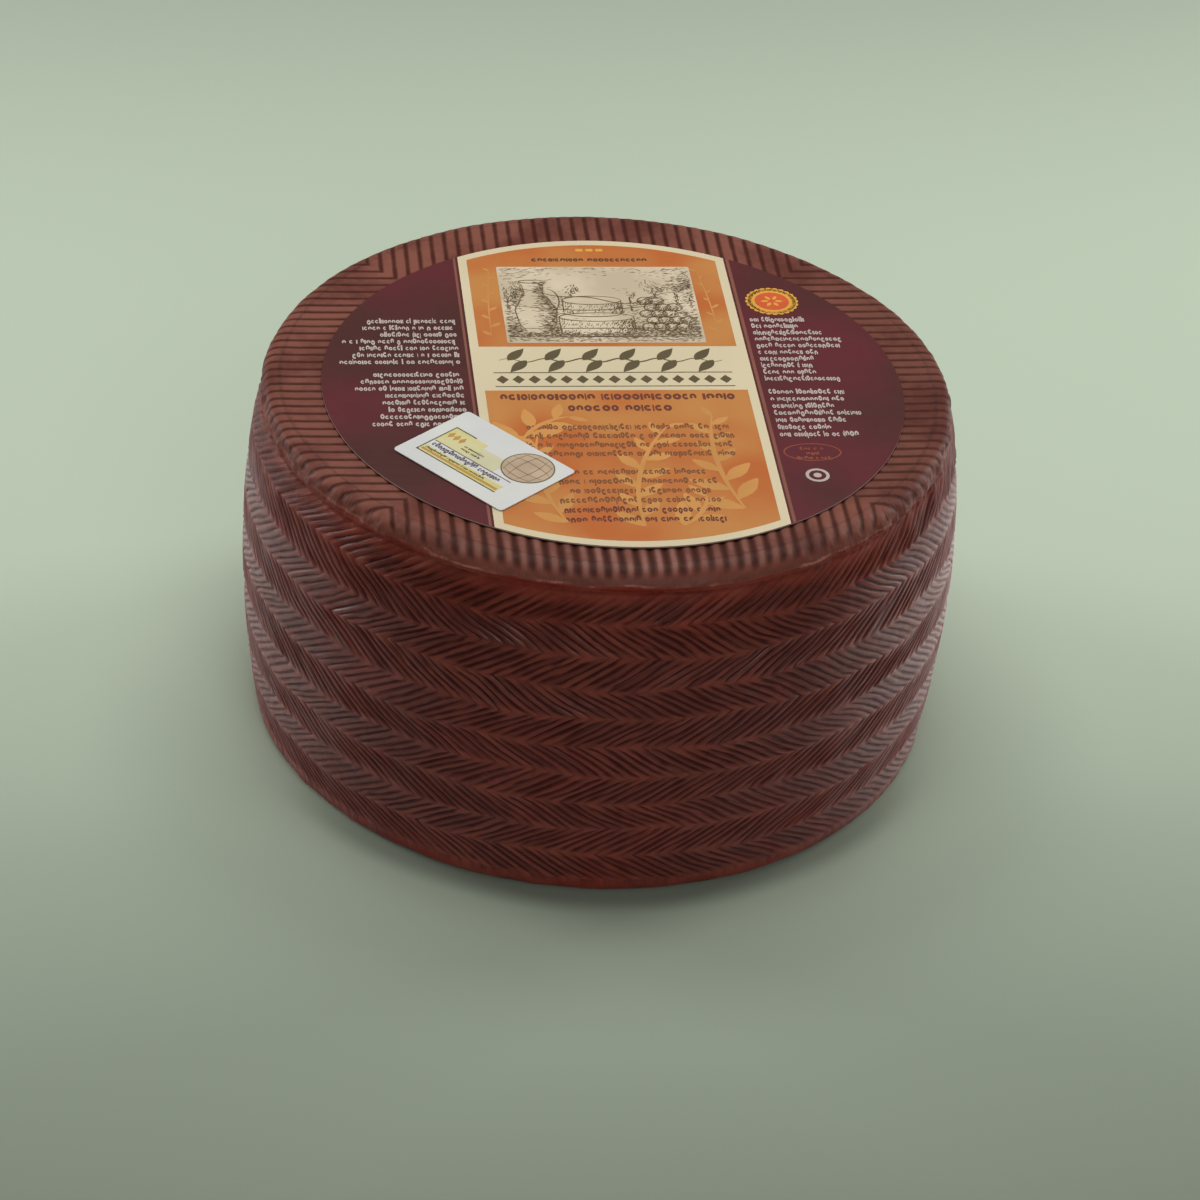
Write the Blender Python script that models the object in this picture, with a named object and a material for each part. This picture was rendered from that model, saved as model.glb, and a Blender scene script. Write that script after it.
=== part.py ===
"""A whole wheel of manchego cheese with its round paper label and a small paper sticker.

Units are metres and +Z is up. The origin is on the ground, under the middle of the wheel.
The front of the wheel is towards -Y, and the top of the label's print is towards +Y.
"""
import math

import bmesh
import bpy

MM = 0.001

# The wheel's turned form: it bulges at mid height and leans in to the top and the foot.
HEIGHT = 102.8 * MM
MID_RADIUS = 100.0 * MM
TOP_SHARE = 0.948
FOOT_SHARE = 0.959
TOP_ROUND = 6.0 * MM
FOOT_ROUND = 2.1 * MM

# The plait that the esparto-style mould presses into the side: rows of slanting strokes.
PLAIT_LOW = 4.6 * MM
PLAIT_HIGH = 97.0 * MM
PLAIT_ROWS = 10
STROKES = 183
STROKE_SLOPE = math.radians(33.0)
STROKE_DEPTH = 0.6 * MM

# The straight ridges that the pressing boards leave on the two flat faces.
RIDGE_PITCH = 3.82 * MM
RIDGE_DEPTH = 0.8 * MM
TOP_RIDGE_RADIUS = 89.0 * MM
FOOT_RIDGE_RADIUS = 92.6 * MM
LAND_LINES = 4
CORNER_ROOM = 1.5 * MM

# The smooth, uneven shoulder between the plait and the ridges.
SHOULDER_COLUMNS = 122
TOP_SHOULDER_ANGLES = (18.0, 45.0, 70.0)
FOOT_SHOULDER_ANGLES = (0.0, 48.0)
UNEVENNESS = 0.3 * MM

# The paper label and the sticker on it.
PAPER_GAP = 0.3 * MM
LABEL_RADIUS = 79.7 * MM
LABEL_THICKNESS = 0.3 * MM
LABEL_CENTRE = (0.9 * MM, -3.9 * MM)
LABEL_SEGMENTS = 112
STICKER_LENGTH = 40.1 * MM
STICKER_WIDTH = 28.2 * MM
STICKER_THICKNESS = 0.25 * MM
STICKER_CENTRE = (-37.5 * MM, -42.7 * MM)
STICKER_TURN = math.radians(-49.0)
STICKER_CORNER = 1.2 * MM
CORNER_STEPS = 3

# Colour, roughness and the metallic value of each material, colours in linear light.
RIND = ("rind", (0.075, 0.022, 0.014), 0.38)
LABEL_PAPER = ("label_paper", (0.110, 0.022, 0.026), 0.45)
STICKER_PAPER = ("sticker_paper", (0.76, 0.75, 0.74), 0.55)


def clear_scene():
    """Remove whatever the open file holds."""
    for item in list(bpy.data.objects):
        bpy.data.objects.remove(item, do_unlink=True)


def make_material(name, colour, roughness):
    """A Principled material of one colour."""
    material = bpy.data.materials.new(name)
    material.use_nodes = True
    shader = material.node_tree.nodes["Principled BSDF"]
    shader.inputs["Base Color"].default_value = (*colour, 1.0)
    shader.inputs["Roughness"].default_value = roughness
    shader.inputs["Metallic"].default_value = 0.0
    return material


def make_object(name, shape, material):
    """Turn a bmesh into a named object in the scene."""
    mesh = bpy.data.meshes.new(name)
    shape.to_mesh(mesh)
    shape.free()
    mesh.materials.append(material)
    result = bpy.data.objects.new(name, mesh)
    bpy.context.scene.collection.objects.link(result)
    return result


def wheel_radius(height):
    """Radius of the side at a height, before the rounding of its two edges."""
    from_middle = 2.0 * height / HEIGHT - 1.0
    share = TOP_SHARE if from_middle > 0.0 else FOOT_SHARE
    return MID_RADIUS * (1.0 - (1.0 - share) * from_middle * from_middle)


def uneven(angle):
    """A slow, irregular swell round the wheel, between about -1 and 1."""
    slow = 0.45 * math.sin(3.0 * angle + 0.7) + 0.35 * math.sin(7.0 * angle + 2.1)
    quick = 0.30 * math.sin(16.0 * angle + 4.0) + 0.20 * math.sin(29.0 * angle + 1.3)
    return slow + quick


def at(shape, radius, angle, height):
    """A vertex at an angle round the wheel, counted from the front towards +X."""
    return shape.verts.new((radius * math.sin(angle), -radius * math.cos(angle), height))


def angle_of(vertex):
    """The angle of a vertex round the wheel, from 0 to a full turn."""
    return math.atan2(vertex.co.x, -vertex.co.y) % math.tau


def zip_loops(shape, first, second):
    """Join two closed loops that may differ in count with a band of triangles."""
    first = sorted(first, key=angle_of)
    second = sorted(second, key=angle_of)
    done_first = 0
    done_second = 0
    while done_first < len(first) or done_second < len(second):
        here = first[done_first % len(first)]
        there = second[done_second % len(second)]
        next_here = first[(done_first + 1) % len(first)]
        next_there = second[(done_second + 1) % len(second)]
        turn_here = angle_of(next_here) + math.tau * ((done_first + 1) // len(first))
        turn_there = angle_of(next_there) + math.tau * ((done_second + 1) // len(second))
        first_is_next = turn_here <= turn_there or done_second >= len(second)
        if first_is_next and done_first < len(first):
            shape.faces.new((here, next_here, there))
            done_first += 1
        else:
            shape.faces.new((here, next_there, there))
            done_second += 1


def join_rings(shape, upper, lower):
    """Join two loops of the same count with a band of quads."""
    for index in range(len(upper)):
        following = (index + 1) % len(upper)
        shape.faces.new((upper[index], lower[index], lower[following], upper[following]))


def plait(shape):
    """The side: rows of strokes that slant one way, then the other. Returns its end rings."""
    columns = 2 * STROKES
    row_height = (PLAIT_HIGH - PLAIT_LOW) / PLAIT_ROWS
    run = row_height / math.tan(STROKE_SLOPE) / MID_RADIUS
    rings = []
    for row in range(PLAIT_ROWS + 1):
        height = PLAIT_HIGH - row * row_height
        crest = wheel_radius(height)
        start = -run if row % 2 else 0.0
        ring = []
        for column in range(columns):
            radius = crest - STROKE_DEPTH * (column % 2)
            ring.append(at(shape, radius, start + math.tau * column / columns, height))
        rings.append(ring)
    for upper, lower in zip(rings, rings[1:]):
        join_rings(shape, upper, lower)
    return rings[0], rings[-1]


def shoulder(shape, angles, rounding, is_top):
    """Smooth rings round an edge of the wheel, from the plait's side to the flat face's."""
    rings = []
    for degrees in angles:
        rise = math.sin(math.radians(degrees))
        inset = rounding * (1.0 - math.cos(math.radians(degrees)))
        depth = rounding * (1.0 - rise)
        height = HEIGHT - depth if is_top else depth
        ring = []
        for column in range(SHOULDER_COLUMNS):
            angle = math.tau * column / SHOULDER_COLUMNS
            swell = UNEVENNESS * (uneven(angle) - 1.0) if is_top else 0.0
            radius = wheel_radius(height) - inset + swell
            ring.append(at(shape, radius, angle, height + 0.5 * swell * rise))
        rings.append(ring)
    for upper, lower in zip(rings, rings[1:]):
        join_rings(shape, upper, lower)
    return rings[0], rings[-1]


def ridged_face(shape, crest_height, groove_height, face_radius):
    """A flat face of straight ridges in four quarters, mitred on the diagonals.

    Even lines are crests and odd lines are grooves. Each quarter is the front one, whose
    ridges run along Y, turned about the wheel's axis. A square land is left in the middle.
    """
    half_pitch = 0.5 * RIDGE_PITCH
    land = LAND_LINES * half_pitch
    last = int((face_radius - CORNER_ROOM) / math.sqrt(2.0) / half_pitch)
    made = {}

    def point(quarter, x, y, height):
        for _ in range(quarter):
            x, y = -y, x
        key = (round(x, 7), round(y, 7), round(height, 7))
        if key not in made:
            made[key] = shape.verts.new((x, y, height))
        return made[key]

    def line_height(line):
        return groove_height if line % 2 else crest_height

    def inner(quarter, line):
        across = line * half_pitch
        return point(quarter, across, -max(abs(across), land), line_height(line))

    def outer(quarter, line):
        across = line * half_pitch
        along = -math.sqrt(face_radius * face_radius - across * across)
        return point(quarter, across, along, line_height(line))

    rim = []
    land_edge = []
    for quarter in range(4):
        for line in range(-last, last):
            ring = (inner(quarter, line), outer(quarter, line))
            following = (outer(quarter, line + 1), inner(quarter, line + 1))
            shape.faces.new(ring + following)
        corner = (inner(quarter, last), outer(quarter, last), outer((quarter + 1) % 4, -last))
        shape.faces.new(corner)
        rim += [outer(quarter, line) for line in range(-last, last + 1)]
        for line in range(-LAND_LINES, LAND_LINES, 2):
            left = inner(quarter, line)
            right = inner(quarter, line + 2)
            shape.faces.new((left, right, inner(quarter, line + 1)))
            land_edge.append(left)
    shape.faces.new(land_edge)
    return rim


def make_wheel():
    """The cheese itself, one solid: plaited side, smooth shoulders and two ridged faces."""
    shape = bmesh.new()
    plait_top, plait_foot = plait(shape)
    top_outer, top_inner = shoulder(shape, TOP_SHOULDER_ANGLES, TOP_ROUND, True)
    foot_outer, foot_inner = shoulder(shape, FOOT_SHOULDER_ANGLES, FOOT_ROUND, False)
    top_rim = ridged_face(shape, HEIGHT, HEIGHT - RIDGE_DEPTH, TOP_RIDGE_RADIUS)
    foot_rim = ridged_face(shape, 0.0, RIDGE_DEPTH, FOOT_RIDGE_RADIUS)
    zip_loops(shape, top_rim, top_inner)
    zip_loops(shape, top_outer, plait_top)
    zip_loops(shape, plait_foot, foot_outer)
    zip_loops(shape, foot_inner, foot_rim)
    bmesh.ops.triangulate(shape, faces=shape.faces[:])
    bmesh.ops.recalc_face_normals(shape, faces=shape.faces[:])
    return make_object("cheese_wheel", shape, make_material(*RIND))


def make_label():
    """The round paper label, a thin disc that lies on the ridges."""
    shape = bmesh.new()
    bmesh.ops.create_cone(shape, cap_ends=True, segments=LABEL_SEGMENTS, radius1=LABEL_RADIUS,
                          radius2=LABEL_RADIUS, depth=LABEL_THICKNESS)
    label = make_object("top_label", shape, make_material(*LABEL_PAPER))
    label.location = (*LABEL_CENTRE, HEIGHT + PAPER_GAP + 0.5 * LABEL_THICKNESS)
    return label


def make_sticker(label):
    """The small paper sticker, a thin card with eased corners that lies on the label."""
    shape = bmesh.new()
    outline = []
    for quarter in range(4):
        side = (1.0, -1.0, -1.0, 1.0)[quarter]
        end = (1.0, 1.0, -1.0, -1.0)[quarter]
        centre_x = side * (0.5 * STICKER_LENGTH - STICKER_CORNER)
        centre_y = end * (0.5 * STICKER_WIDTH - STICKER_CORNER)
        for step in range(CORNER_STEPS + 1):
            angle = 0.5 * math.pi * (quarter + step / CORNER_STEPS)
            x = centre_x + STICKER_CORNER * math.cos(angle)
            y = centre_y + STICKER_CORNER * math.sin(angle)
            outline.append(shape.verts.new((x, y, -0.5 * STICKER_THICKNESS)))
    base = shape.faces.new(outline)
    grown = bmesh.ops.extrude_face_region(shape, geom=[base])
    lifted = [item for item in grown["geom"] if isinstance(item, bmesh.types.BMVert)]
    bmesh.ops.translate(shape, verts=lifted, vec=(0.0, 0.0, STICKER_THICKNESS))
    bmesh.ops.recalc_face_normals(shape, faces=shape.faces[:])
    sticker = make_object("paper_sticker", shape, make_material(*STICKER_PAPER))
    sticker.parent = label
    above_label = 0.5 * LABEL_THICKNESS + PAPER_GAP + 0.5 * STICKER_THICKNESS
    from_label_x = STICKER_CENTRE[0] - LABEL_CENTRE[0]
    from_label_y = STICKER_CENTRE[1] - LABEL_CENTRE[1]
    sticker.location = (from_label_x, from_label_y, above_label)
    sticker.rotation_euler = (0.0, 0.0, STICKER_TURN)
    return sticker


def main():
    """Build the wheel, the label on it and the sticker on the label."""
    clear_scene()
    make_wheel()
    label = make_label()
    make_sticker(label)
    bpy.context.view_layer.update()


main()
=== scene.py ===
"""A whole wheel of manchego cheese: plaited rind, ridged faces, printed paper label and sticker.

Everything is in metres, +Z up, with the label's top towards +Y.
"""

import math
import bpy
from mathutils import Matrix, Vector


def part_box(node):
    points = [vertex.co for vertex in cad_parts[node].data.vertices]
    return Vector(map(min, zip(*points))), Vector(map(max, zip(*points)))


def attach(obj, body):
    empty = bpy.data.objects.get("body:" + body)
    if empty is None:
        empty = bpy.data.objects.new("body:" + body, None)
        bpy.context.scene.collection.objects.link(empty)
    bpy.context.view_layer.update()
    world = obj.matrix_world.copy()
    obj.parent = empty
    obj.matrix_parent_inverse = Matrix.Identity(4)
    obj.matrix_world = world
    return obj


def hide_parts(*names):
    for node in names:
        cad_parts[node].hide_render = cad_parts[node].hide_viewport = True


bl_info = {
    "name": "Plaited cheese wheel",
    "version": (1, 0, 0),
    "blender": (4, 5, 0),
    "location": "View3D > Sidebar > Cheese",
    "description": "Presses a plaited rind into a wheel of cheese and prints its label",
    "category": "Add Mesh",
}

import bmesh
import bpy
import numpy as np
from mathutils import Matrix, Vector

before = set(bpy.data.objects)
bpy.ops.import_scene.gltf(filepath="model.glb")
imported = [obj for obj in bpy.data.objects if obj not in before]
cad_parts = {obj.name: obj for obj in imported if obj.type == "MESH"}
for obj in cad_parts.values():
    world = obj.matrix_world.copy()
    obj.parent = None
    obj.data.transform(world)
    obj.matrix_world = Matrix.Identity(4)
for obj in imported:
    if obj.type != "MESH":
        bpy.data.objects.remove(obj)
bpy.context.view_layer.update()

MM = 0.001
BODY = "root"

# Sizes that the frame gives.
WHEEL_LOW, WHEEL_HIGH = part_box("cheese_wheel")
LABEL_LOW, LABEL_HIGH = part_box("top_label")
CARD_LOW, CARD_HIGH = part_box("paper_sticker")
HEIGHT = WHEEL_HIGH.z - WHEEL_LOW.z
MID_RADIUS = 0.25 * (WHEEL_HIGH.x - WHEEL_LOW.x + WHEEL_HIGH.y - WHEEL_LOW.y)
LABEL_RADIUS = 0.5 * (LABEL_HIGH.x - LABEL_LOW.x)
LABEL_CENTRE = 0.5 * (LABEL_LOW + LABEL_HIGH)
CARD_CENTRE = 0.5 * (CARD_LOW + CARD_HIGH)

# The wheel's turned form, as in the solid.
TOP_SHARE = 0.948
FOOT_SHARE = 0.959
TOP_ROUND = 4.8 * MM
TOP_DROP = 4.9 * MM
FOOT_ROUND = 2.1 * MM
TOP_RIDGE_RADIUS = 89.3 * MM
FOOT_RIDGE_RADIUS = 92.6 * MM
RIDGE_PITCH = 3.82 * MM

# Towards the shoulder the ridges turn from pressed form to fine relief between these radii.
PRESSED_RADIUS = 84.5 * MM
RELIEF_RADIUS = 93.0 * MM

# The plait: rows of slanting strokes, three strokes to a strand.
PLAIT_LOW = 4.6 * MM
PLAIT_HIGH = 97.0 * MM
PLAIT_ROWS = 10
ROW_CUTS = (0.0, 0.09, 0.2, 0.5, 0.8, 0.91)
STROKES = 183
STROKES_PER_STRAND = 3
STROKE_SLOPE = math.radians(33.0)
STROKE_SAMPLES = (0.0, 0.27, 0.43, 0.57, 0.73)
ROW_SWAY = 0.42 * MM

# Where the shoulders' rings lie, in degrees round the edge's rounding, and how full the top
# shoulder is in front, at the sides and at the back.
TOP_SHOULDER_ANGLES = (89.0, 78.0, 67.0, 56.0, 46.0, 37.0, 29.0, 21.0, 13.0, 6.0, 1.0)
FOOT_SHOULDER_ANGLES = (0.0, 30.0, 60.0, 85.0)
FRONT_EASE = 1.06
SIDE_EASE = 0.55
BACK_EASE = 0.92

# Rows above the plait and below it lie outside its first and last, so nothing is pressed there.
ABOVE_PLAIT = -0.2
BELOW_PLAIT = PLAIT_ROWS + 0.2
LIP_RINGS = ((97.8 * MM, -0.1), (97.4 * MM, -0.05))

# A painted highlight runs along the lip between the shoulder and the plait.
LIP_LINE = 98.6 * MM
LIP_WAVER = 3.6 * MM

# The ridges run over the top shoulder and fade above this height.
RIDGE_END = 99.9 * MM
RIDGE_DROP = 1.6 * MM
RIDGE_FADE = 2.0 * MM

# Ridge lines for each pitch, and where each line is cut along its length.
LINES_PER_RIDGE = 6
RIDGE_CUTS = (0.0, 0.45, 0.72, 0.8, 0.86, 0.91, 0.96, 1.0)
CORNER_ROOM = 1.0 * MM

# Ink lies on paper in thin solid layers.
INK = 0.03 * MM
PAPER_TOP = LABEL_HIGH.z
CARD_TOP = CARD_HIGH.z

# The card's frame: its length runs along this turn.
CARD_TURN = math.radians(-49.0)
CARD_LENGTH = 40.1 * MM
CARD_WIDTH = 28.2 * MM
CARD_CORNER = 1.2 * MM

# The printed band down the middle of the label, from its left edge to its right.
BAND_LEFT = -37.1 * MM
BAND_RIGHT = 40.0 * MM
BAND_EDGE = 2.5 * MM
BAND_MIDDLE = 0.5 * (BAND_LEFT + BAND_RIGHT)
TITLE_TOP = 16.0 * MM
TITLE_FOOT = -7.2 * MM
PICTURE_LEFT = -26.4 * MM
PICTURE_FOOT = 17.9 * MM
PICTURE_WIDTH = 55.7 * MM
PICTURE_HEIGHT = 42.4 * MM

# The camera, from the photo's view of the wheel.
CAMERA_TURN = -0.1388
CAMERA_RISE = 0.587
CAMERA_DISTANCE = 1.0423
CAMERA_ROLL = 0.0689
CAMERA_LENS = 110.94
CAMERA_SHIFT = (0.0017, -0.0549)


# Short calls for nodes


class Value:
    """What a node puts out. Each sign that is used on it adds a Math node."""

    def __init__(self, graph, socket):
        self.graph = graph
        self.socket = socket

    def math(self, operation, *others):
        """The result of a Math node that starts with this value."""
        return self.graph.math(operation, self, *others)

    def step(self, low, high, to_low=0.0, to_high=1.0):
        """This value eased from one range to another."""
        sockets = {0: self, 1: low, 2: high, 3: to_low, 4: to_high}
        return self.graph.out("ShaderNodeMapRange", sockets, interpolation_type="SMOOTHSTEP")

    def __add__(self, other):
        return self.math("ADD", other)

    def __sub__(self, other):
        return self.math("SUBTRACT", other)

    def __rsub__(self, other):
        return self.graph.math("SUBTRACT", other, self)

    def __mul__(self, other):
        return self.math("MULTIPLY", other)

    def __truediv__(self, other):
        return self.math("DIVIDE", other)

    def __mod__(self, other):
        return self.math("MODULO", other)

    def __pow__(self, other):
        return self.math("POWER", other)

    def __abs__(self):
        return self.math("ABSOLUTE")

    __radd__ = __add__
    __rmul__ = __mul__


class Graph:
    """Adds nodes to one node tree and links them."""

    def __init__(self, tree):
        self.tree = tree

    def feed(self, socket, value):
        """Link a socket to a node's output, or set its value."""
        if isinstance(value, Value):
            self.tree.links.new(value.socket, socket)
        else:
            socket.default_value = value

    def out(self, kind, inputs=None, output=0, **settings):
        """One output of a new node, whose inputs and outputs are named or numbered."""
        node = self.tree.nodes.new(kind)
        for name, value in settings.items():
            setattr(node, name, value)
        for key, value in (inputs or {}).items():
            self.feed(node.inputs[key], value)
        return Value(self, node.outputs[output])

    def math(self, operation, *values):
        """The result of a Math node."""
        return self.out("ShaderNodeMath", dict(enumerate(values)), operation=operation)

    def vector(self, operation, *values, output=0):
        """The result of a Vector Math node."""
        return self.out("ShaderNodeVectorMath", dict(enumerate(values)), output,
                        operation=operation)

    def scaled(self, vector, factor):
        """A vector times a number."""
        return self.out("ShaderNodeVectorMath", {0: vector, "Scale": factor}, operation="SCALE")

    def combine(self, x=0.0, y=0.0, z=0.0):
        """A vector from three numbers."""
        return self.out("ShaderNodeCombineXYZ", {0: x, 1: y, 2: z})

    def split(self, vector):
        """The three numbers of a vector."""
        first = self.out("ShaderNodeSeparateXYZ", {0: vector})
        return [Value(self, socket) for socket in first.socket.node.outputs]

    def noise(self, place, scale, detail=2.0, seed=0.0, roughness=0.5):
        """A noise value between about 0 and 1."""
        sockets = {"Vector": place, "W": seed, "Scale": scale, "Detail": detail,
                   "Roughness": roughness}
        return self.out("ShaderNodeTexNoise", sockets, noise_dimensions="4D")

    def speckle(self, place):
        """A number drawn for each whole step of a flat place."""
        return self.out("ShaderNodeTexWhiteNoise", {0: place}, noise_dimensions="2D")

    def blend(self, factor, first, second):
        """A colour between two colours."""
        return self.out("ShaderNodeMix", {0: factor, 6: first, 7: second}, 2, data_type="RGBA")

    def fact(self, name):
        """A named value of the mesh, in a shader or in a geometry tree."""
        if self.tree.bl_idname == "ShaderNodeTree":
            return self.out("ShaderNodeAttribute", None, "Fac", attribute_name=name)
        return self.out("GeometryNodeInputNamedAttribute", {"Name": name}, data_type="FLOAT")

    def store(self, geometry, **facts):
        """A geometry with named values kept on its points."""
        for name, value in facts.items():
            geometry = self.out("GeometryNodeStoreNamedAttribute",
                                {"Geometry": geometry, "Name": name, "Value": value},
                                data_type="FLOAT", domain="POINT")
        return geometry

    def draw(self, seed, low, high, **which):
        """A number drawn for each point, or for each ID."""
        return self.out("FunctionNodeRandomValue", {2: low, 3: high, "Seed": seed, **which}, 1,
                        data_type="FLOAT")

    def stamp(self, points, instance, turn=0.0, **sockets):
        """Copies of a geometry on points, each turned about its own upright."""
        inputs = {"Points": points, "Instance": instance,
                  "Rotation": self.combine(0.0, 0.0, turn)}
        inputs.update({key.replace("_", " "): value for key, value in sockets.items()})
        return self.out("GeometryNodeInstanceOnPoints", inputs)

    def group(self, build, **inputs):
        """The named outputs of a shared shader group with its own values."""
        first = self.out("ShaderNodeGroup", None, 0, node_tree=tree_from(build))
        node = first.socket.node
        for name, value in inputs.items():
            self.feed(node.inputs[name], value)
        return {socket.name: Value(self, socket) for socket in node.outputs}


SOCKETS = {int: "NodeSocketInt", float: "NodeSocketFloat"}


def new_tree(name, kind, inputs, outputs):
    """A node group: its graph, input values and outputs. Inputs give a value or a socket kind."""
    tree = bpy.data.node_groups.new(name, kind)
    for label, value in inputs.items():
        socket_kind = value if isinstance(value, str) else SOCKETS[type(value)]
        socket = tree.interface.new_socket(name=label, in_out="INPUT", socket_type=socket_kind)
        if not isinstance(value, str):
            socket.default_value = value
    for label, socket_kind in outputs.items():
        tree.interface.new_socket(name=label, in_out="OUTPUT", socket_type=socket_kind)
    graph = Graph(tree)
    given = {item.name: Value(graph, item) for item in tree.nodes.new("NodeGroupInput").outputs}
    return graph, given, tree.nodes.new("NodeGroupOutput").inputs


def geometry_tree(name, **inputs):
    """A Geometry Nodes tree that takes a geometry, its own inputs and a material."""
    named = {key.replace("_", " ").title(): value for key, value in inputs.items()}
    sockets = {"Geometry": "NodeSocketGeometry", **named, "Material": "NodeSocketMaterial"}
    return new_tree(name, "GeometryNodeTree", sockets, {"Geometry": "NodeSocketGeometry"})


def end_tree(graph, given, result, geometry):
    """Realize the instances, set the material and put the geometry out."""
    real = graph.out("GeometryNodeRealizeInstances", {"Geometry": geometry})
    last = graph.out("GeometryNodeSetMaterial", {"Geometry": real, "Material": given["Material"]})
    graph.feed(result[0], last)
    return graph.tree


def tree_from(build):
    """The node group that a function builds, made once and named after it."""
    name = build.__name__.replace("_", " ").capitalize()
    return bpy.data.node_groups.get(name) or build(name)


def run_tree(piece, build, **values):
    """Run a geometry tree on a piece, its inputs given by name, and keep a plain mesh."""
    tree = tree_from(build)
    named = {key.replace("_", " ").title(): value for key, value in values.items()}
    modifier = piece.modifiers.new(tree.name, "NODES")
    modifier.node_group = tree
    for item in tree.interface.items_tree:
        if item.in_out == "INPUT" and item.name in named:
            modifier[item.identifier] = named[item.name]
    graph = bpy.context.evaluated_depsgraph_get()
    evaluated = piece.evaluated_get(graph)
    made = bpy.data.meshes.new_from_object(evaluated, preserve_all_data_layers=True,
                                           depsgraph=graph)
    before = piece.data
    name = before.name
    piece.modifiers.remove(modifier)
    piece.data = made
    bpy.data.meshes.remove(before)
    made.name = name
    return piece


# Short calls for meshes


def link_mesh(name, mesh, material=None):
    """An object in the scene for a mesh."""
    if material:
        mesh.materials.append(material)
    piece = bpy.data.objects.new(name, mesh)
    bpy.context.scene.collection.objects.link(piece)
    return piece


def from_bmesh(name, shape, material):
    """An object made from a bmesh, with its faces turned outwards."""
    bmesh.ops.recalc_face_normals(shape, faces=shape.faces[:])
    mesh = bpy.data.meshes.new(name)
    shape.to_mesh(mesh)
    shape.free()
    return link_mesh(name, mesh, material)


def from_points(name, points=((0.0, 0.0, 0.0),), edges=(), faces=(), **facts):
    """An object made from points, with a named value for each point if asked."""
    mesh = bpy.data.meshes.new(name)
    mesh.from_pydata(points, edges, faces)
    for label, values in facts.items():
        mesh.attributes.new(label, "FLOAT", "POINT").data.foreach_set("value", values)
    return link_mesh(name, mesh)


def slab(name, outline, low, high, material):
    """A thin closed solid over an outline, from one height to another."""
    shape = bmesh.new()
    base = shape.faces.new([shape.verts.new((x, y, low)) for x, y in outline])
    grown = bmesh.ops.extrude_face_region(shape, geom=[base])
    raised = [item for item in grown["geom"] if isinstance(item, bmesh.types.BMVert)]
    bmesh.ops.translate(shape, verts=raised, vec=(0.0, 0.0, high - low))
    return from_bmesh(name, shape, material)


def ink_slab(name, outline, layer, material, paper=PAPER_TOP):
    """A field of ink over an outline, in one of the layers that lie on the paper."""
    return slab(name, outline, paper - 0.5 * INK, paper + (layer + 1.0) * INK, material)


def place(piece, x, y, z=0.0, turn=0.0):
    """Turn and move a piece within its mesh, so that its object stays at the origin."""
    piece.data.transform(Matrix.Translation((x, y, z)) @ Matrix.Rotation(turn, 4, "Z"))
    return piece


def add_to_body(piece, slot="label_paper", *nodes):
    """Make a finished piece ride on the wheel's body and hide the parts it replaces. The slot is
    not used.
    """
    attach(piece, BODY)
    for node in nodes:
        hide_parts(node)
    return piece


def box_outline(left, foot, right, top, corner=0.0, steps=4):
    """The outline of a rectangle, with rounded corners if asked."""
    if corner <= 0.0:
        return [(left, foot), (right, foot), (right, top), (left, top)]
    centres = ((right - corner, top - corner), (left + corner, top - corner),
               (left + corner, foot + corner), (right - corner, foot + corner))
    outline = []
    for quarter, (x, y) in enumerate(centres):
        for step in range(steps + 1):
            angle = 0.5 * math.pi * (quarter + step / steps)
            outline.append((x + corner * math.cos(angle), y + corner * math.sin(angle)))
    return outline


def disc_outline(x, y, radius, count=64, stretch=1.0):
    """The outline of a disc or an oval."""
    angles = [math.tau * index / count for index in range(count)]
    return [(x + stretch * radius * math.cos(a), y + radius * math.sin(a)) for a in angles]


def lozenge_outline(half_width, half_height):
    """The outline of a lozenge about the origin."""
    return [(-half_width, 0.0), (0.0, -half_height), (half_width, 0.0), (0.0, half_height)]


def leaf_outline(length, width, steps=10):
    """The outline of a pointed leaf that starts at the origin and lies along +X."""
    upper = [(length * t / steps, 0.5 * width * math.sin(math.pi * (t / steps) ** 0.8))
             for t in range(steps + 1)]
    return upper + [(x, -y) for x, y in reversed(upper[1:-1])]


def loft(shape, rings, is_closed):
    """Join rings of the same count with quads, and the last ring to the first if closed."""
    following = rings[1:] + rings[:1] if is_closed else rings[1:]
    for first, second in zip(rings, following):
        for index, corner in enumerate(first):
            after = (index + 1) % len(first)
            shape.faces.new((corner, first[after], second[after], second[index]))


def ring_slab(name, x, y, outer, inner, low, high, material, stretch=1.0, count=72):
    """A flat closed ring, round or oval."""
    shape = bmesh.new()
    rings = []
    for radius, height in ((outer, low), (outer, high), (inner, high), (inner, low)):
        squeeze = stretch if radius == outer else (stretch * outer - (outer - inner)) / inner
        points = disc_outline(x, y, radius, count, squeeze)
        rings.append([shape.verts.new((px, py, height)) for px, py in points])
    loft(shape, rings, True)
    return from_bmesh(name, shape, material)


def ribbon(name, paths, width, low, high, material):
    """Flat closed ribbons along paths, which taper to both ends."""
    shape = bmesh.new()
    for path in paths:
        count = len(path)
        rings = []
        for index, (x, y) in enumerate(path):
            before = Vector(path[max(index - 1, 0)])
            after = Vector(path[min(index + 1, count - 1)])
            along = (after - before).normalized()
            taper = 0.25 + 0.75 * math.sin(math.pi * (index + 0.5) / count)
            side = Vector((-along.y, along.x)) * 0.5 * width * taper
            corners = ((x - side.x, y - side.y, low), (x + side.x, y + side.y, low),
                       (x + side.x, y + side.y, high), (x - side.x, y - side.y, high))
            rings.append([shape.verts.new(corner) for corner in corners])
        loft(shape, rings, False)
        shape.faces.new(rings[0])
        shape.faces.new(rings[-1])
    return from_bmesh(name, shape, material)


# Settings


def a_length(name, description, default):
    """A setting that is a length."""
    return bpy.props.FloatProperty(name=name, description=description, default=default, min=0.0,
                                   unit="LENGTH")


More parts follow.
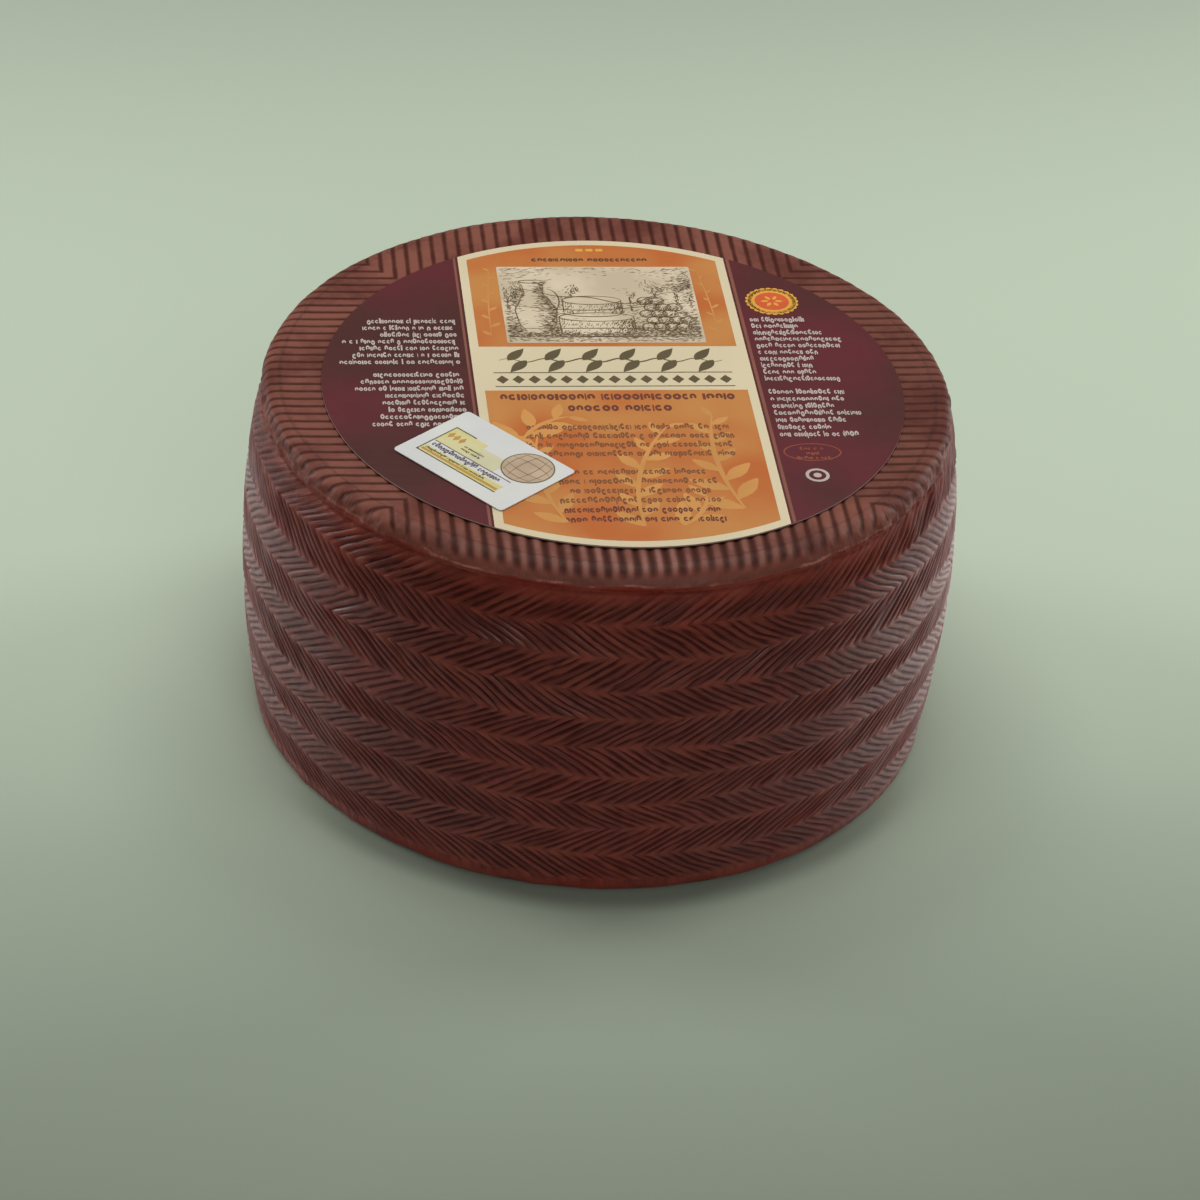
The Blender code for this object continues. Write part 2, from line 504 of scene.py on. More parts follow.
def a_colour(name, description, default):
    """A setting that is a colour."""
    return bpy.props.FloatVectorProperty(name=name, description=description, default=default,
                                         min=0.0, max=1.0, size=3, subtype="COLOR")


def a_power(name, description, default):
    """A setting that is a light's power."""
    return bpy.props.FloatProperty(name=name, description=description, default=default, min=0.0,
                                   unit="POWER")


def a_share(name, description, default):
    """A setting that is a share or a multiple."""
    return bpy.props.FloatProperty(name=name, description=description, default=default, min=0.0,
                                   subtype="FACTOR")


def a_seed(description, default):
    """A setting that picks one of many uneven results."""
    return bpy.props.IntProperty(name="Seed", description=description, default=default)


class RindSettings(bpy.types.PropertyGroup):
    """What the mould presses into the rind, and the rind's colours."""

    stroke_depth: a_length("Stroke depth", "Depth of the grooves between the plait's strokes",
                           0.5 * MM)
    strand_depth: a_length("Strand depth", "How far each strand of the plait swells", 0.2 * MM)
    ridge_depth: a_length("Ridge depth", "Depth of the grooves between the ridges", 0.42 * MM)
    lump_height: a_length("Lump height", "Height of the lumps on the shoulders", 0.55 * MM)
    lip_height: a_length("Lip height", "Height of the lip between shoulder and plait", 0.8 * MM)
    seed: a_seed("Which of many uneven wheels this is", 4)
    # Groove and valley colours are dark pigment with painted shade in the recesses.
    groove_colour: a_colour("Groove colour", "Depth of the grooves", (0.036, 0.0026, 0.0010))
    crest_colour: a_colour("Crest colour", "The plait's strands", (0.225, 0.045, 0.025))
    warm_colour: a_colour("Warm colour", "Thinly coated rind", (0.210, 0.018, 0.007))
    valley_colour: a_colour("Valley colour", "Between the ridges", (0.061, 0.012, 0.005))
    ridge_colour: a_colour("Ridge colour", "The faces' ridges", (0.222, 0.076, 0.052))
    shoulder_colour: a_colour("Shoulder colour", "Above the lip", (0.135, 0.048, 0.034))
    # A painted highlight on the ridges' peaks in front.
    peak_highlight_colour: a_colour("Peak highlight colour", "Painted highlight on the ridges' peaks in front", (0.265, 0.120, 0.097))
    # A painted highlight along the lip.
    lip_highlight_colour: a_colour("Lip highlight colour", "Painted highlight along the lip", (0.38, 0.155, 0.110))


class LabelSettings(bpy.types.PropertyGroup):
    """The label's paper and its inks."""

    paper_colour: a_colour("Paper colour", "Dark red of the paper", (0.112, 0.015, 0.021))
    cream_colour: a_colour("Cream colour", "The band's edge and title", (0.70, 0.61, 0.41))
    orange_colour: a_colour("Orange colour", "The band's two fields", (0.500, 0.135, 0.028))
    amber_colour: a_colour("Amber colour", "Paler orange and sprigs", (0.560, 0.265, 0.072))
    sepia_colour: a_colour("Sepia colour", "Ink of the engraving", (0.170, 0.118, 0.064))
    dark_colour: a_colour("Dark ink colour", "Print above the picture", (0.095, 0.040, 0.018))
    pale_colour: a_colour("Pale ink colour", "Print on the dark paper", (0.53, 0.455, 0.42))
    seed: a_seed("Which of many runs of small print this is", 11)


class StageSettings(bpy.types.PropertyGroup):
    """The floor, the lights and the camera."""

    floor_colour: a_colour("Floor colour", "Pale sage of the floor", (0.505, 0.598, 0.475))
    bounce_colour: a_colour("Bounce colour", "Light that the floor throws", (0.40, 0.37, 0.36))
    # The cards set the floor's painted reflection for glossy rays; the front share sets the floor's
    # painted shade in front.
    card_front: a_share("Front card", "Share of the floor's light in front", 0.2)
    card_left: a_share("Left card", "How bright the left side is in reflections", 1.75)
    card_right: a_share("Right card", "How bright the right side is in reflections", 3.1)
    front_share: a_share("Front share", "How much brightness the floor keeps in front", 0.28)
    key_power: a_power("Key power", "Power of the soft light above", 5.2)
    side_power: a_power("Side power", "Power of each soft light at the sides", 5.0)
    fill_power: a_power("Fill power", "Power of the weak light beside the camera", 5.2)


# The wheel


def clamp(value):
    """A value kept between 0 and 1."""
    return min(max(value, 0.0), 1.0)


def wheel_radius(height):
    """Radius of the side at a height, before the rounding of its two edges."""
    from_middle = 2.0 * height / HEIGHT - 1.0
    share = TOP_SHARE if from_middle > 0.0 else FOOT_SHARE
    return MID_RADIUS * (1.0 - (1.0 - share) * from_middle * from_middle)


class RindMesh:
    """Collects the points and faces of the blank wheel, with what the mould needs to know."""

    FACTS = ("stroke", "row", "plait", "ridged", "edge")

    def __init__(self):
        self.points = []
        self.facts = []
        self.faces = []

    def point(self, x, y, z, stroke=0.0, row=0.0, plait=0.0, ridged=0.0, edge=0.0):
        """Add a point and say where it lies in the plait or the ridges."""
        self.points.append((x, y, z))
        self.facts.append((stroke, row, plait, ridged, edge))
        return len(self.points) - 1

    def angle(self, index):
        """The angle of a point round the wheel, counted from the front towards +X."""
        x, y, _ = self.points[index]
        return math.atan2(x, -y) % math.tau

    def join(self, upper, lower):
        """Join two rings of the same count with quads."""
        for index, corner in enumerate(upper):
            after = (index + 1) % len(upper)
            self.faces.append((corner, lower[index], lower[after], upper[after]))

    def stitch(self, *loops):
        """Join two closed loops of any count with triangles."""
        loops = [sorted(loop, key=self.angle) for loop in loops]
        turns = [[self.angle(index) for index in loop] + [self.angle(loop[0]) + math.tau]
                 for loop in loops]
        done = [0, 0]
        while done[0] < len(loops[0]) or done[1] < len(loops[1]):
            left = [side for side in (0, 1) if done[side] < len(loops[side])]
            side = min(left, key=lambda item: turns[item][done[item] + 1])
            corners = [loop[count % len(loop)] for loop, count in zip(loops, done)]
            done[side] += 1
            self.faces.append((*corners, loops[side][done[side] % len(loops[side])]))

    def to_object(self, name):
        """An object of the mesh, with each fact as a named attribute and a map for grain."""
        facts = np.array(self.facts, np.float32)
        named = {label: np.ascontiguousarray(facts[:, column])
                 for column, label in enumerate(self.FACTS)}
        piece = from_points(name, self.points, (), self.faces, **named)
        mesh = piece.data
        corner_points = np.zeros(len(mesh.loops), np.int32)
        mesh.loops.foreach_get("vertex_index", corner_points)
        starts = np.zeros(len(mesh.polygons), np.int32)
        mesh.polygons.foreach_get("loop_start", starts)
        # A face that closes a ring counts on past the last stroke, so its grain doesn't jump.
        across = facts[corner_points, 0]
        widest = np.repeat(np.maximum.reduceat(across, starts),
                           np.diff(np.append(starts, len(across))))
        across = np.where(widest - across > 0.5 * STROKES, across + STROKES, across)
        both = np.stack([across, facts[corner_points, 1]], axis=1).astype(np.float32)
        mesh.uv_layers.new(name="grain").data.foreach_set("uv", both.ravel())
        shape = bmesh.new()
        shape.from_mesh(mesh)
        bmesh.ops.recalc_face_normals(shape, faces=shape.faces[:])
        shape.to_mesh(mesh)
        shape.free()
        mesh.shade_smooth()
        return piece


def ragged(angle):
    """An uneven value between -1 and 1 for an angle round the wheel."""
    return (0.45 * math.sin(5.0 * angle + 1.0) + 0.35 * math.sin(13.0 * angle)
            + 0.2 * math.sin(31.0 * angle + 2.0))


def share_to_side(angle):
    """0 in front and 1 at the sides and the back, for an angle counted from the front."""
    return clamp(1.9 * (0.55 - math.cos(angle)) + 0.5)


def row_sway(angle, row):
    """How far a row of the plait wanders up or down at an angle, between -1.7 and 1.7."""
    within = clamp(min(row, PLAIT_ROWS - row))
    return within * (math.sin(6.0 * angle + 1.7 * row) + 0.7 * math.sin(15.0 * angle + 4.1 * row))


def rind_ring(blank, profile, start, row, plait, edge):
    """One ring of points round the wheel, with a point at each sample of each stroke."""
    ring = []
    for position in [stroke + sample for stroke in range(STROKES) for sample in STROKE_SAMPLES]:
        angle = start + math.tau * position / STROKES
        radius, height = profile(angle)
        ridge_end = RIDGE_END - RIDGE_DROP * share_to_side(angle) + 0.7 * MM * ragged(angle)
        ridged = clamp((height - ridge_end) / RIDGE_FADE)
        ring.append(blank.point(radius * math.sin(angle), -radius * math.cos(angle), height,
                                position, row, plait, ridged, edge))
    return ring


def side_ring(blank, height, start, row, plait, edge):
    """One ring of the side, at a height that wanders a little within the plait."""
    def profile(angle):
        here = height + ROW_SWAY * row_sway(angle, row)
        return wheel_radius(here), here

    return rind_ring(blank, profile, start, row, plait, edge)


def rounded_ring(blank, degrees, rounding, is_top):
    """One ring of a shoulder, at an angle round the edge's rounding."""
    turn = math.radians(degrees)

    def profile(angle):
        ease = 1.0
        if is_top:
            far_ease = SIDE_EASE + (BACK_EASE - SIDE_EASE) * clamp(-1.5 * math.cos(angle))
            ease = FRONT_EASE + (far_ease - FRONT_EASE) * share_to_side(angle)
        depth = (TOP_DROP if is_top else rounding) * (1.0 - math.sin(turn) ** ease)
        height = HEIGHT - depth if is_top else depth
        return wheel_radius(height) - rounding * (1.0 - math.cos(turn) ** ease), height

    if is_top:
        return rind_ring(blank, profile, 0.0, ABOVE_PLAIT, 0.0, math.cos(turn) ** 2)
    return rind_ring(blank, profile, 0.0, BELOW_PLAIT, 0.0, 0.35)


def side_rings(blank):
    """All rings from the ridged top's rim to the ridged foot's rim, joined up."""
    rings = [rounded_ring(blank, angle, TOP_ROUND, True) for angle in TOP_SHOULDER_ANGLES]
    rings += [side_ring(blank, height, 0.0, row, 0.0, 0.6) for height, row in LIP_RINGS]
    row_height = (PLAIT_HIGH - PLAIT_LOW) / PLAIT_ROWS
    run = row_height / math.tan(STROKE_SLOPE) / MID_RADIUS
    cuts = [row + cut for row in range(PLAIT_ROWS) for cut in ROW_CUTS] + [float(PLAIT_ROWS)]
    for row in cuts:
        swing = 1.0 - abs(1.0 - row % 2.0)
        edge = 1.0 if row == 0.0 else 0.0
        rings.append(side_ring(blank, PLAIT_HIGH - row * row_height, -run * swing, row, 1.0, edge))
    rings += [rounded_ring(blank, angle, FOOT_ROUND, False) for angle in FOOT_SHOULDER_ANGLES]
    for upper, lower in zip(rings, rings[1:]):
        blank.join(upper, lower)
    return rings[0], rings[-1]


def ridged_face(blank, height, face_radius):
    """A flat face of lines that follow the ridges, mitred on the diagonals. Returns its rim."""
    spacing = RIDGE_PITCH / LINES_PER_RIDGE
    last = int((face_radius - CORNER_ROOM) / math.sqrt(2.0) / spacing)
    is_top = height > 0.0
    row = ABOVE_PLAIT if is_top else BELOW_PLAIT
    made = {}

    def point(quarter, line, cut):
        across = line * spacing
        inner = abs(across)
        outer = math.sqrt(face_radius * face_radius - across * across)
        x, y = across, -(inner + (outer - inner) * cut)
        fade = (face_radius - 0.4 * MM - math.hypot(x, y)) / (3.0 * MM)
        for _ in range(quarter):
            x, y = -y, x
        key = (round(x, 7), round(y, 7))
        if key not in made:
            ridged = 1.0 if is_top else clamp(fade)
            made[key] = blank.point(x, y, height, row=row, ridged=ridged)
        return made[key]

    rim = []
    for quarter in range(4):
        for line in range(-last, last):
            for near, far in zip(RIDGE_CUTS, RIDGE_CUTS[1:]):
                corners = [point(quarter, line, near), point(quarter, line, far),
                           point(quarter, line + 1, far), point(quarter, line + 1, near)]
                corners = tuple(dict.fromkeys(corners))
                if len(corners) > 2:
                    blank.faces.append(corners)
        rim += [point(quarter, line, 1.0) for line in range(-last, last + 1)]
        fan = [point(quarter, last, cut) for cut in RIDGE_CUTS]
        fan += [point((quarter + 1) % 4, -last, cut) for cut in reversed(RIDGE_CUTS[1:])]
        blank.faces.append(tuple(fan))
    return rim


def pressed_rind(name):
    """Presses the plait, the ridges and the lumps into the blank wheel, always inwards."""
    graph, given, result = geometry_tree(
        name, stroke_depth=0.5 * MM, strand_depth=0.2 * MM, ridge_depth=0.42 * MM,
        lump_height=0.55 * MM, lip_height=0.8 * MM, strand_strokes=STROKES_PER_STRAND,
        ridge_pitch=RIDGE_PITCH, seed=0)
    position = graph.out("GeometryNodeInputPosition")
    normal = graph.out("GeometryNodeInputNormal")
    stroke, row, plait, ridged, edge = map(graph.fact, RindMesh.FACTS)

    def noise(scale, detail=2.0):
        return graph.noise(position, scale, detail, given["Seed"])

    # Grooves between the strokes wander, and each strand swells between its own edges.
    wander = (noise(320.0) - 0.5) * 0.7 + (noise(110.0) - 0.5) * 0.9
    groove = ((stroke + wander).math("PINGPONG", 0.5) * 2.0).step(0.12, 0.98)
    strand = stroke / given["Strand Strokes"]
    strand_edge = strand.math("PINGPONG", 0.5) * 2.0
    strand_place = (strand + 0.5).math("FRACT") - 0.5

    # Where a row begins and ends, its strokes fade. The first row begins lower, under the lip.
    side = row.math("FLOOR") % 2.0 * -2.0 + 1.0
    shifted = row.math("FRACT") + (strand_place * 0.12 * side + (noise(150.0) * 0.44 - 0.22))
    begin = row.math("LESS_THAN", 1.0) * 0.22
    length = shifted.step(begin, begin + 0.16, 0.4, 1.0) * (1.0 - shifted).step(0.0, 0.16, 0.4, 1.0)

    cut = groove * length * plait
    strokes = cut * noise(90.0, 3.0).step(0.34, 0.66, 0.35, 1.2) * given["Stroke Depth"]
    strands = strand_edge ** 2.5 * length * plait * given["Strand Depth"]

    x, y, _ = graph.split(position)
    out = graph.vector("LENGTH", graph.combine(x, y), output="Value")
    wave = (abs(x).math("MINIMUM", abs(y)) / given["Ridge Pitch"] * math.tau).math("COSINE")
    valley = (1.0 - (wave * 0.5 + 0.5) ** 0.62) * ridged
    flat = out.step(PRESSED_RADIUS, RELIEF_RADIUS, 1.0, 0.3)
    ridges = valley * flat * given["Ridge Depth"]

    # Lumps on the shoulders, and creases where the ridges fray at both sides in front.
    creased = noise(170.0, 3.0).step(0.36, 0.60)
    frayed = abs(x).step(42.0 * MM, 70.0 * MM) * y.step(-5.0 * MM, 30.0 * MM, 1.0, 0.0)
    upper_row = row.step(0.1, 1.7, 1.0, 0.0) * plait
    creases = creased * frayed * (edge.math("MAXIMUM", upper_row) * 1.5)
    lumps = (noise(75.0, 3.0).step(0.34, 0.66) * edge + creases) * given["Lump Height"]
    under_rim = row.step(0.1, 0.7, 1.0, 0.0) * row.step(-0.18, -0.06)
    lip = under_rim * noise(60.0).step(0.3, 0.65, 0.3, 1.0) * given["Lip Height"]
    swells = noise(22.0, 1.0) * (0.45 * MM) * plait.math("MAXIMUM", edge)

    depth = strokes + strands + (ridges + (lumps + swells + lip))
    kept = graph.store(given["Geometry"], relief=1.0 - cut.math("MAXIMUM", valley),
                       joint=(1.0 - length) * plait)
    moved = graph.out("GeometryNodeSetPosition",
                      {"Geometry": kept, "Offset": graph.scaled(normal, depth * -1.0)})
    return end_tree(graph, given, result, moved)


# Shader groups that more than one material uses


def ridge_lines(name):
    """The faces' ridges as a wave, and as a height that fades inwards under the paper."""
    graph, given, result = new_tree(
        name, "ShaderNodeTree",
        {"Position": "NodeSocketVector", "Pitch": RIDGE_PITCH, "Clear Radius": 60.0 * MM,
         "Full Radius": 86.0 * MM},
        {"Wave": "NodeSocketFloat", "Height": "NodeSocketFloat"})
    x, y, _ = graph.split(given["Position"])
    at_side = abs(x).math("GREATER_THAN", abs(y))
    across = at_side * y + (1.0 - at_side) * x
    wave = (across / given["Pitch"] * math.tau).math("COSINE")
    radius = graph.vector("LENGTH", graph.combine(x, y), output="Value")
    graph.feed(result["Wave"], wave * 0.5 + 0.5)
    graph.feed(result["Height"], wave * radius.step(given["Clear Radius"], given["Full Radius"]))
    return graph.tree


def mottle(name):
    """Uneven colour: two colours mixed in soft blotches, and a roughness that wanders."""
    graph, given, result = new_tree(
        name, "ShaderNodeTree",
        {"Position": "NodeSocketVector", "First": "NodeSocketColor", "Second": "NodeSocketColor",
         "Scale": 40.0, "Amount": 1.0, "Roughness": 0.5, "Seed": 0.0},
        {"Color": "NodeSocketColor", "Roughness": "NodeSocketFloat"})
    position, scale = given["Position"], given["Scale"]
    blotches = graph.noise(position, scale, 2.0, given["Seed"]).step(0.36, 0.64)
    fine = graph.noise(position, scale * 9.0, 2.0, given["Seed"])
    graph.feed(result["Color"], graph.blend(blotches * given["Amount"], given["First"],
                                            given["Second"]))
    graph.feed(result["Roughness"], given["Roughness"] + (fine * 0.16 - 0.08))
    return graph.tree


def shader_material(name, coat=0.0, coat_roughness=0.2, specular=0.5):
    """A Principled material with constant coat values: its graph, inputs and position."""
    material = bpy.data.materials.new(name)
    material.use_nodes = True
    graph = Graph(material.node_tree)
    inputs = material.node_tree.nodes["Principled BSDF"].inputs
    inputs["Coat Weight"].default_value = coat
    inputs["Coat Roughness"].default_value = coat_roughness
    inputs["Specular IOR Level"].default_value = specular
    return material, graph, inputs, graph.out("ShaderNodeTexCoord", None, "Object")


def rgba(tint, share=1.0):
    """A colour socket's value from a setting, dimmed or lifted if asked."""
    return (tint[0] * share, tint[1] * share, tint[2] * share, 1.0)


def bump(graph, inputs, height, distance, strength):
    """Turn a height into the shader's normal."""
    normal = graph.out("ShaderNodeBump",
                       {"Height": height, "Distance": distance, "Strength": strength})
    graph.feed(inputs["Normal"], normal)


def rind_material(rind):
    """Coated rind: near-black grooves of dark pigment with painted shade, brown strands, warm thin
    patches with painted bounce light at the foot, painted shade and highlights on the ridges, a
    painted highlight along the lip and a soft gloss.
    """
    material, graph, inputs, position = shader_material("coated_rind", 0.4, 0.24, 0.18)
    relief, joint, row, plait, ridged, edge = map(
        graph.fact, ("relief", "joint", "row", "plait", "ridged", "edge"))

    def noise(scale, detail, seed, roughness=0.5):
        return graph.noise(position, scale, detail, seed, roughness)

    x, y, up = graph.split(position)
    on_side = 1.0 - ridged
    in_front = y.step(-86.0 * MM, -66.0 * MM, 1.0, 0.0)
    facing = y.step(-90.0 * MM, -50.0 * MM, 1.0, 0.3)
    tone = noise(190.0, 4.0, 9.0, 0.65) * 1.3 - 0.65

    # The faces' ridges: painted shade between them and over the whole ridge in front, with painted
    # highlights on their peaks in front.
    wave = graph.group(ridge_lines, Position=position)["Wave"]
    rough_wave = wave + tone * 0.35
    front_shaded_crests = graph.blend(in_front, rgba(rind.ridge_colour), rgba(rind.ridge_colour, 0.78))
    # Painted highlights on the peaks of the ridges in front.
    painted_peak_highlight = in_front * noise(70.0, 4.0, 14.0).step(0.36, 0.6, 0.25, 1.0)
    crests = graph.blend(painted_peak_highlight * rough_wave.step(0.55, 1.0), front_shaded_crests, rgba(rind.peak_highlight_colour))
    valleys = graph.blend(in_front, rgba(rind.valley_colour), rgba(rind.valley_colour, 0.75))
    # In front the valleys' painted shade spreads wider.
    ridges = graph.blend(rough_wave.step(-0.05, in_front * 0.40 + 0.52), valleys, crests)
    # The ridges turn darker towards the right.
    at_right = x.step(50.0 * MM, 84.0 * MM, 0.0, 0.3)
    ridges = graph.blend(at_right, ridges, rgba(rind.valley_colour))
    # The plait's grooves are near-black: dark pigment, with painted shade in the recesses.
    strands = graph.blend((relief + tone).step(0.02, 1.0), rgba(rind.groove_colour),
                          rgba(rind.crest_colour))

    # Thinly coated patches show at the joints between rows and at the foot; at the foot they are
    # also painted bounce light from the floor.
    places = (joint * 0.40 + 0.28).math("MAXIMUM", row.step(8.9, 10.0, 0.0, 0.8))
    warm = noise(24.0, 3.0, 2.0).step(0.46, 0.66) * places * on_side

    # Each stroke and each strand is a little darker or paler than the next.
    grain = graph.out("ShaderNodeUVMap", uv_map="grain")
    cell = graph.vector("FLOOR", graph.vector("ADD", grain, (0.5, 0.0, 0.0)))
    per_strand = (1.0 / STROKES_PER_STRAND, 1.0, 1.0)
    strand = graph.vector("FLOOR", graph.vector("MULTIPLY", cell, per_strand))
    uneven = graph.speckle(cell) * 0.5 + graph.speckle(strand) * 0.25
    dusk = noise(40.0, 5.0, 7.0, 0.65).step(0.40, 0.66, 0.0, 0.62).math("MAXIMUM", uneven * plait)

    # The lip: a shoulder above a wavering line, red below it and a painted highlight along it.
    over_lip = up - (noise(60.0, 5.0, 4.0, 0.65) * LIP_WAVER + (LIP_LINE - 0.5 * LIP_WAVER))
    shoulder = over_lip.step(-0.5 * MM, 0.3 * MM) * on_side * 0.8
    under_lip = over_lip.step(-6.0 * MM, -2.6 * MM) * over_lip.step(-0.4 * MM, 0.0, 1.0, 0.0)
    red = noise(46.0, 4.0, 12.0, 0.6).step(0.40, 0.60, 0.1, 0.85) * facing
    broken = noise(85.0, 4.0, 8.0, 0.65).step(0.45, 0.6, 0.05, 0.9)
    # A painted highlight along the lip, mostly in front.
    painted_lip_highlight = abs(over_lip).step(0.10 * MM, 0.48 * MM, 1.0, 0.0) * broken * facing

    knots = joint * noise(130.0, 3.0, 21.0).step(0.40, 0.62, 0.15, 0.75)
    fibres = graph.noise(graph.vector("MULTIPLY", grain, (4.0, 1.3, 1.0)), 1.0, 3.0, 5.0, 0.6)
    tint = graph.blend(ridged, strands, ridges)
    for mask, layer in (
            (warm, rgba(rind.warm_colour)),
            (dusk, rgba(rind.groove_colour, 1.5)),
            (shoulder, rgba(rind.shoulder_colour)),
            (under_lip * red, rgba(rind.warm_colour, 0.85)),
            (knots, rgba(rind.crest_colour, 1.2)),
            (fibres.step(0.52, 0.68, 0.0, 0.4) * plait, rgba(rind.ridge_colour)),
            (painted_lip_highlight, rgba(rind.lip_highlight_colour))):
        tint = graph.blend(mask, tint, layer)
    graph.feed(inputs["Base Color"], tint)
    gloss = (relief * 0.62 + 0.04) * row.step(0.2, 2.6)
    graph.feed(inputs["Coat Weight"], gloss * plait + 0.03)
    graph.feed(inputs["Roughness"], noise(420.0, 3.0, 1.0) * 0.24 + (ridged * 0.12 + 0.36))

    wrinkles = noise(240.0, 2.0, 6.0) * (edge * 3.0 + 1.0)
    out = graph.vector("LENGTH", graph.combine(x, y), output="Value")
    rounded = wave ** 0.6 * (out.step(PRESSED_RADIUS, RELIEF_RADIUS) * ridged)
    height = rounded * 1.6 + (fibres * 1.3 + (noise(900.0, 3.0, 3.0) * 0.25 + wrinkles))
    bump(graph, inputs, height, 0.20 * MM, 0.9)
    return material


def paper_material(name, tint, second, amount=1.0, scale=40.0, roughness=0.42, coat=0.25,
                   show=1.0):
    """Coated paper, or ink on it: soft blotches, a fine tooth and the ridges beneath."""
    material, graph, inputs, position = shader_material(name, coat, 0.35, 0.28)
    uneven = graph.group(mottle, Position=position, First=rgba(tint), Second=rgba(second),
                         Scale=scale, Amount=amount, Roughness=roughness)
    graph.feed(inputs["Base Color"], uneven["Color"])
    graph.feed(inputs["Roughness"], uneven["Roughness"])
    height = graph.noise(position, 1600.0) * 0.12 + graph.noise(position, 55.0, 1.0, 3.0) * 2.2
    if show > 0.0:
        height = graph.group(ridge_lines, Position=position)["Height"] * show + height
    bump(graph, inputs, height, 0.09 * MM, 0.7)
    return material


def plain_ink(name, tint, roughness=0.5):
    """An ink whose colour hardly changes."""
    return paper_material(name, tint, rgba(tint, 0.86), 0.7, 90.0, roughness, 0.1, 0.6)


class CHEESE_OT_wheel(bpy.types.Operator):
    """Make the wheel of cheese with its plaited side and ridged faces"""

    bl_idname = "cheese.wheel"
    bl_label = "Cheese wheel"

    def execute(self, context):
        rind = context.scene.cheese_rind
        blank = RindMesh()
        top_ring, foot_ring = side_rings(blank)
        blank.stitch(ridged_face(blank, HEIGHT, TOP_RIDGE_RADIUS), top_ring)
        blank.stitch(foot_ring, ridged_face(blank, 0.0, FOOT_RIDGE_RADIUS))
        wheel = blank.to_object("pressed_wheel")
        run_tree(wheel, pressed_rind, stroke_depth=rind.stroke_depth,
                 strand_depth=rind.strand_depth, ridge_depth=rind.ridge_depth,
                 lump_height=rind.lump_height, lip_height=rind.lip_height, seed=rind.seed,
                 material=rind_material(rind))
        add_to_body(wheel, "rind", "cheese_wheel")
        return {"FINISHED"}


# The label


def arc_y(x, radius, sign):
    """Height on the label's face of a circle about the label's centre, above or below it."""
    across = x - LABEL_CENTRE.x
    return LABEL_CENTRE.y + sign * math.sqrt(max(radius * radius - across * across, 0.0))


def band_outline(left, right, radius, foot=None, top=None, steps=32):
    """Outline of a field of the band, closed by the label's arc where no line is given."""
    xs = [left + (right - left) * step / steps for step in range(steps + 1)]
    lower = [(left, foot), (right, foot)]
    upper = [(right, top), (left, top)]
    if foot is None:
        lower = [(x, arc_y(x, radius, -1.0)) for x in xs]
    if top is None:
        upper = [(x, arc_y(x, radius, 1.0)) for x in reversed(xs)]
    return lower + upper


class CHEESE_OT_label(bpy.types.Operator):
    """Make the round paper label with its band of cream and orange fields"""

    bl_idname = "cheese.label"
    bl_label = "Paper label"

    def execute(self, context):
        inks = context.scene.cheese_label
        paper = paper_material("label_paper", inks.paper_colour, (0.068, 0.017, 0.014), 1.0,
                               22.0, 0.46, 0.05, 0.22)
        outline = disc_outline(LABEL_CENTRE.x, LABEL_CENTRE.y, LABEL_RADIUS, 256)
        label = slab("label_disc", outline, LABEL_LOW.z, LABEL_HIGH.z, paper)
        label.data.materials.append(plain_ink("label_cut_edge", (0.45, 0.36, 0.32)))
        for face in label.data.polygons:
            face.material_index = 1 if abs(face.normal.z) < 0.5 else 0
        add_to_body(label, "label_paper", "top_label")

        cream = paper_material("cream_ink", inks.cream_colour, rgba(inks.cream_colour, 0.9),
                               0.6, 25.0, 0.46, 0.08, 0.5)
        orange = paper_material("orange_ink", inks.orange_colour, inks.amber_colour, 0.75, 30.0,
                                0.46, 0.08, 0.5)
        brown = plain_ink("stripe_ink", (0.23, 0.085, 0.055))
        rim = LABEL_RADIUS - 0.1 * MM
        field_rim = LABEL_RADIUS - BAND_EDGE - 0.3 * MM
        left = BAND_LEFT + BAND_EDGE
        right = BAND_RIGHT - BAND_EDGE
        for name, shape, layer, ink in (
                ("band_cream", band_outline(BAND_LEFT, BAND_RIGHT, rim), 0, cream),
                ("band_upper", band_outline(left, right, field_rim, foot=TITLE_TOP), 1, orange),
                ("band_lower", band_outline(left, right, field_rim, top=TITLE_FOOT), 1, orange),
                ("stripe_left", band_outline(BAND_LEFT - 1.4 * MM, BAND_LEFT - 0.7 * MM, rim), 0,
                 brown),
                ("stripe_right", band_outline(BAND_RIGHT + 0.6 * MM, BAND_RIGHT + 1.5 * MM, rim),
                 0, brown)):
            add_to_body(ink_slab(name, shape, layer, ink))
        return {"FINISHED"}


# Repeats by rule


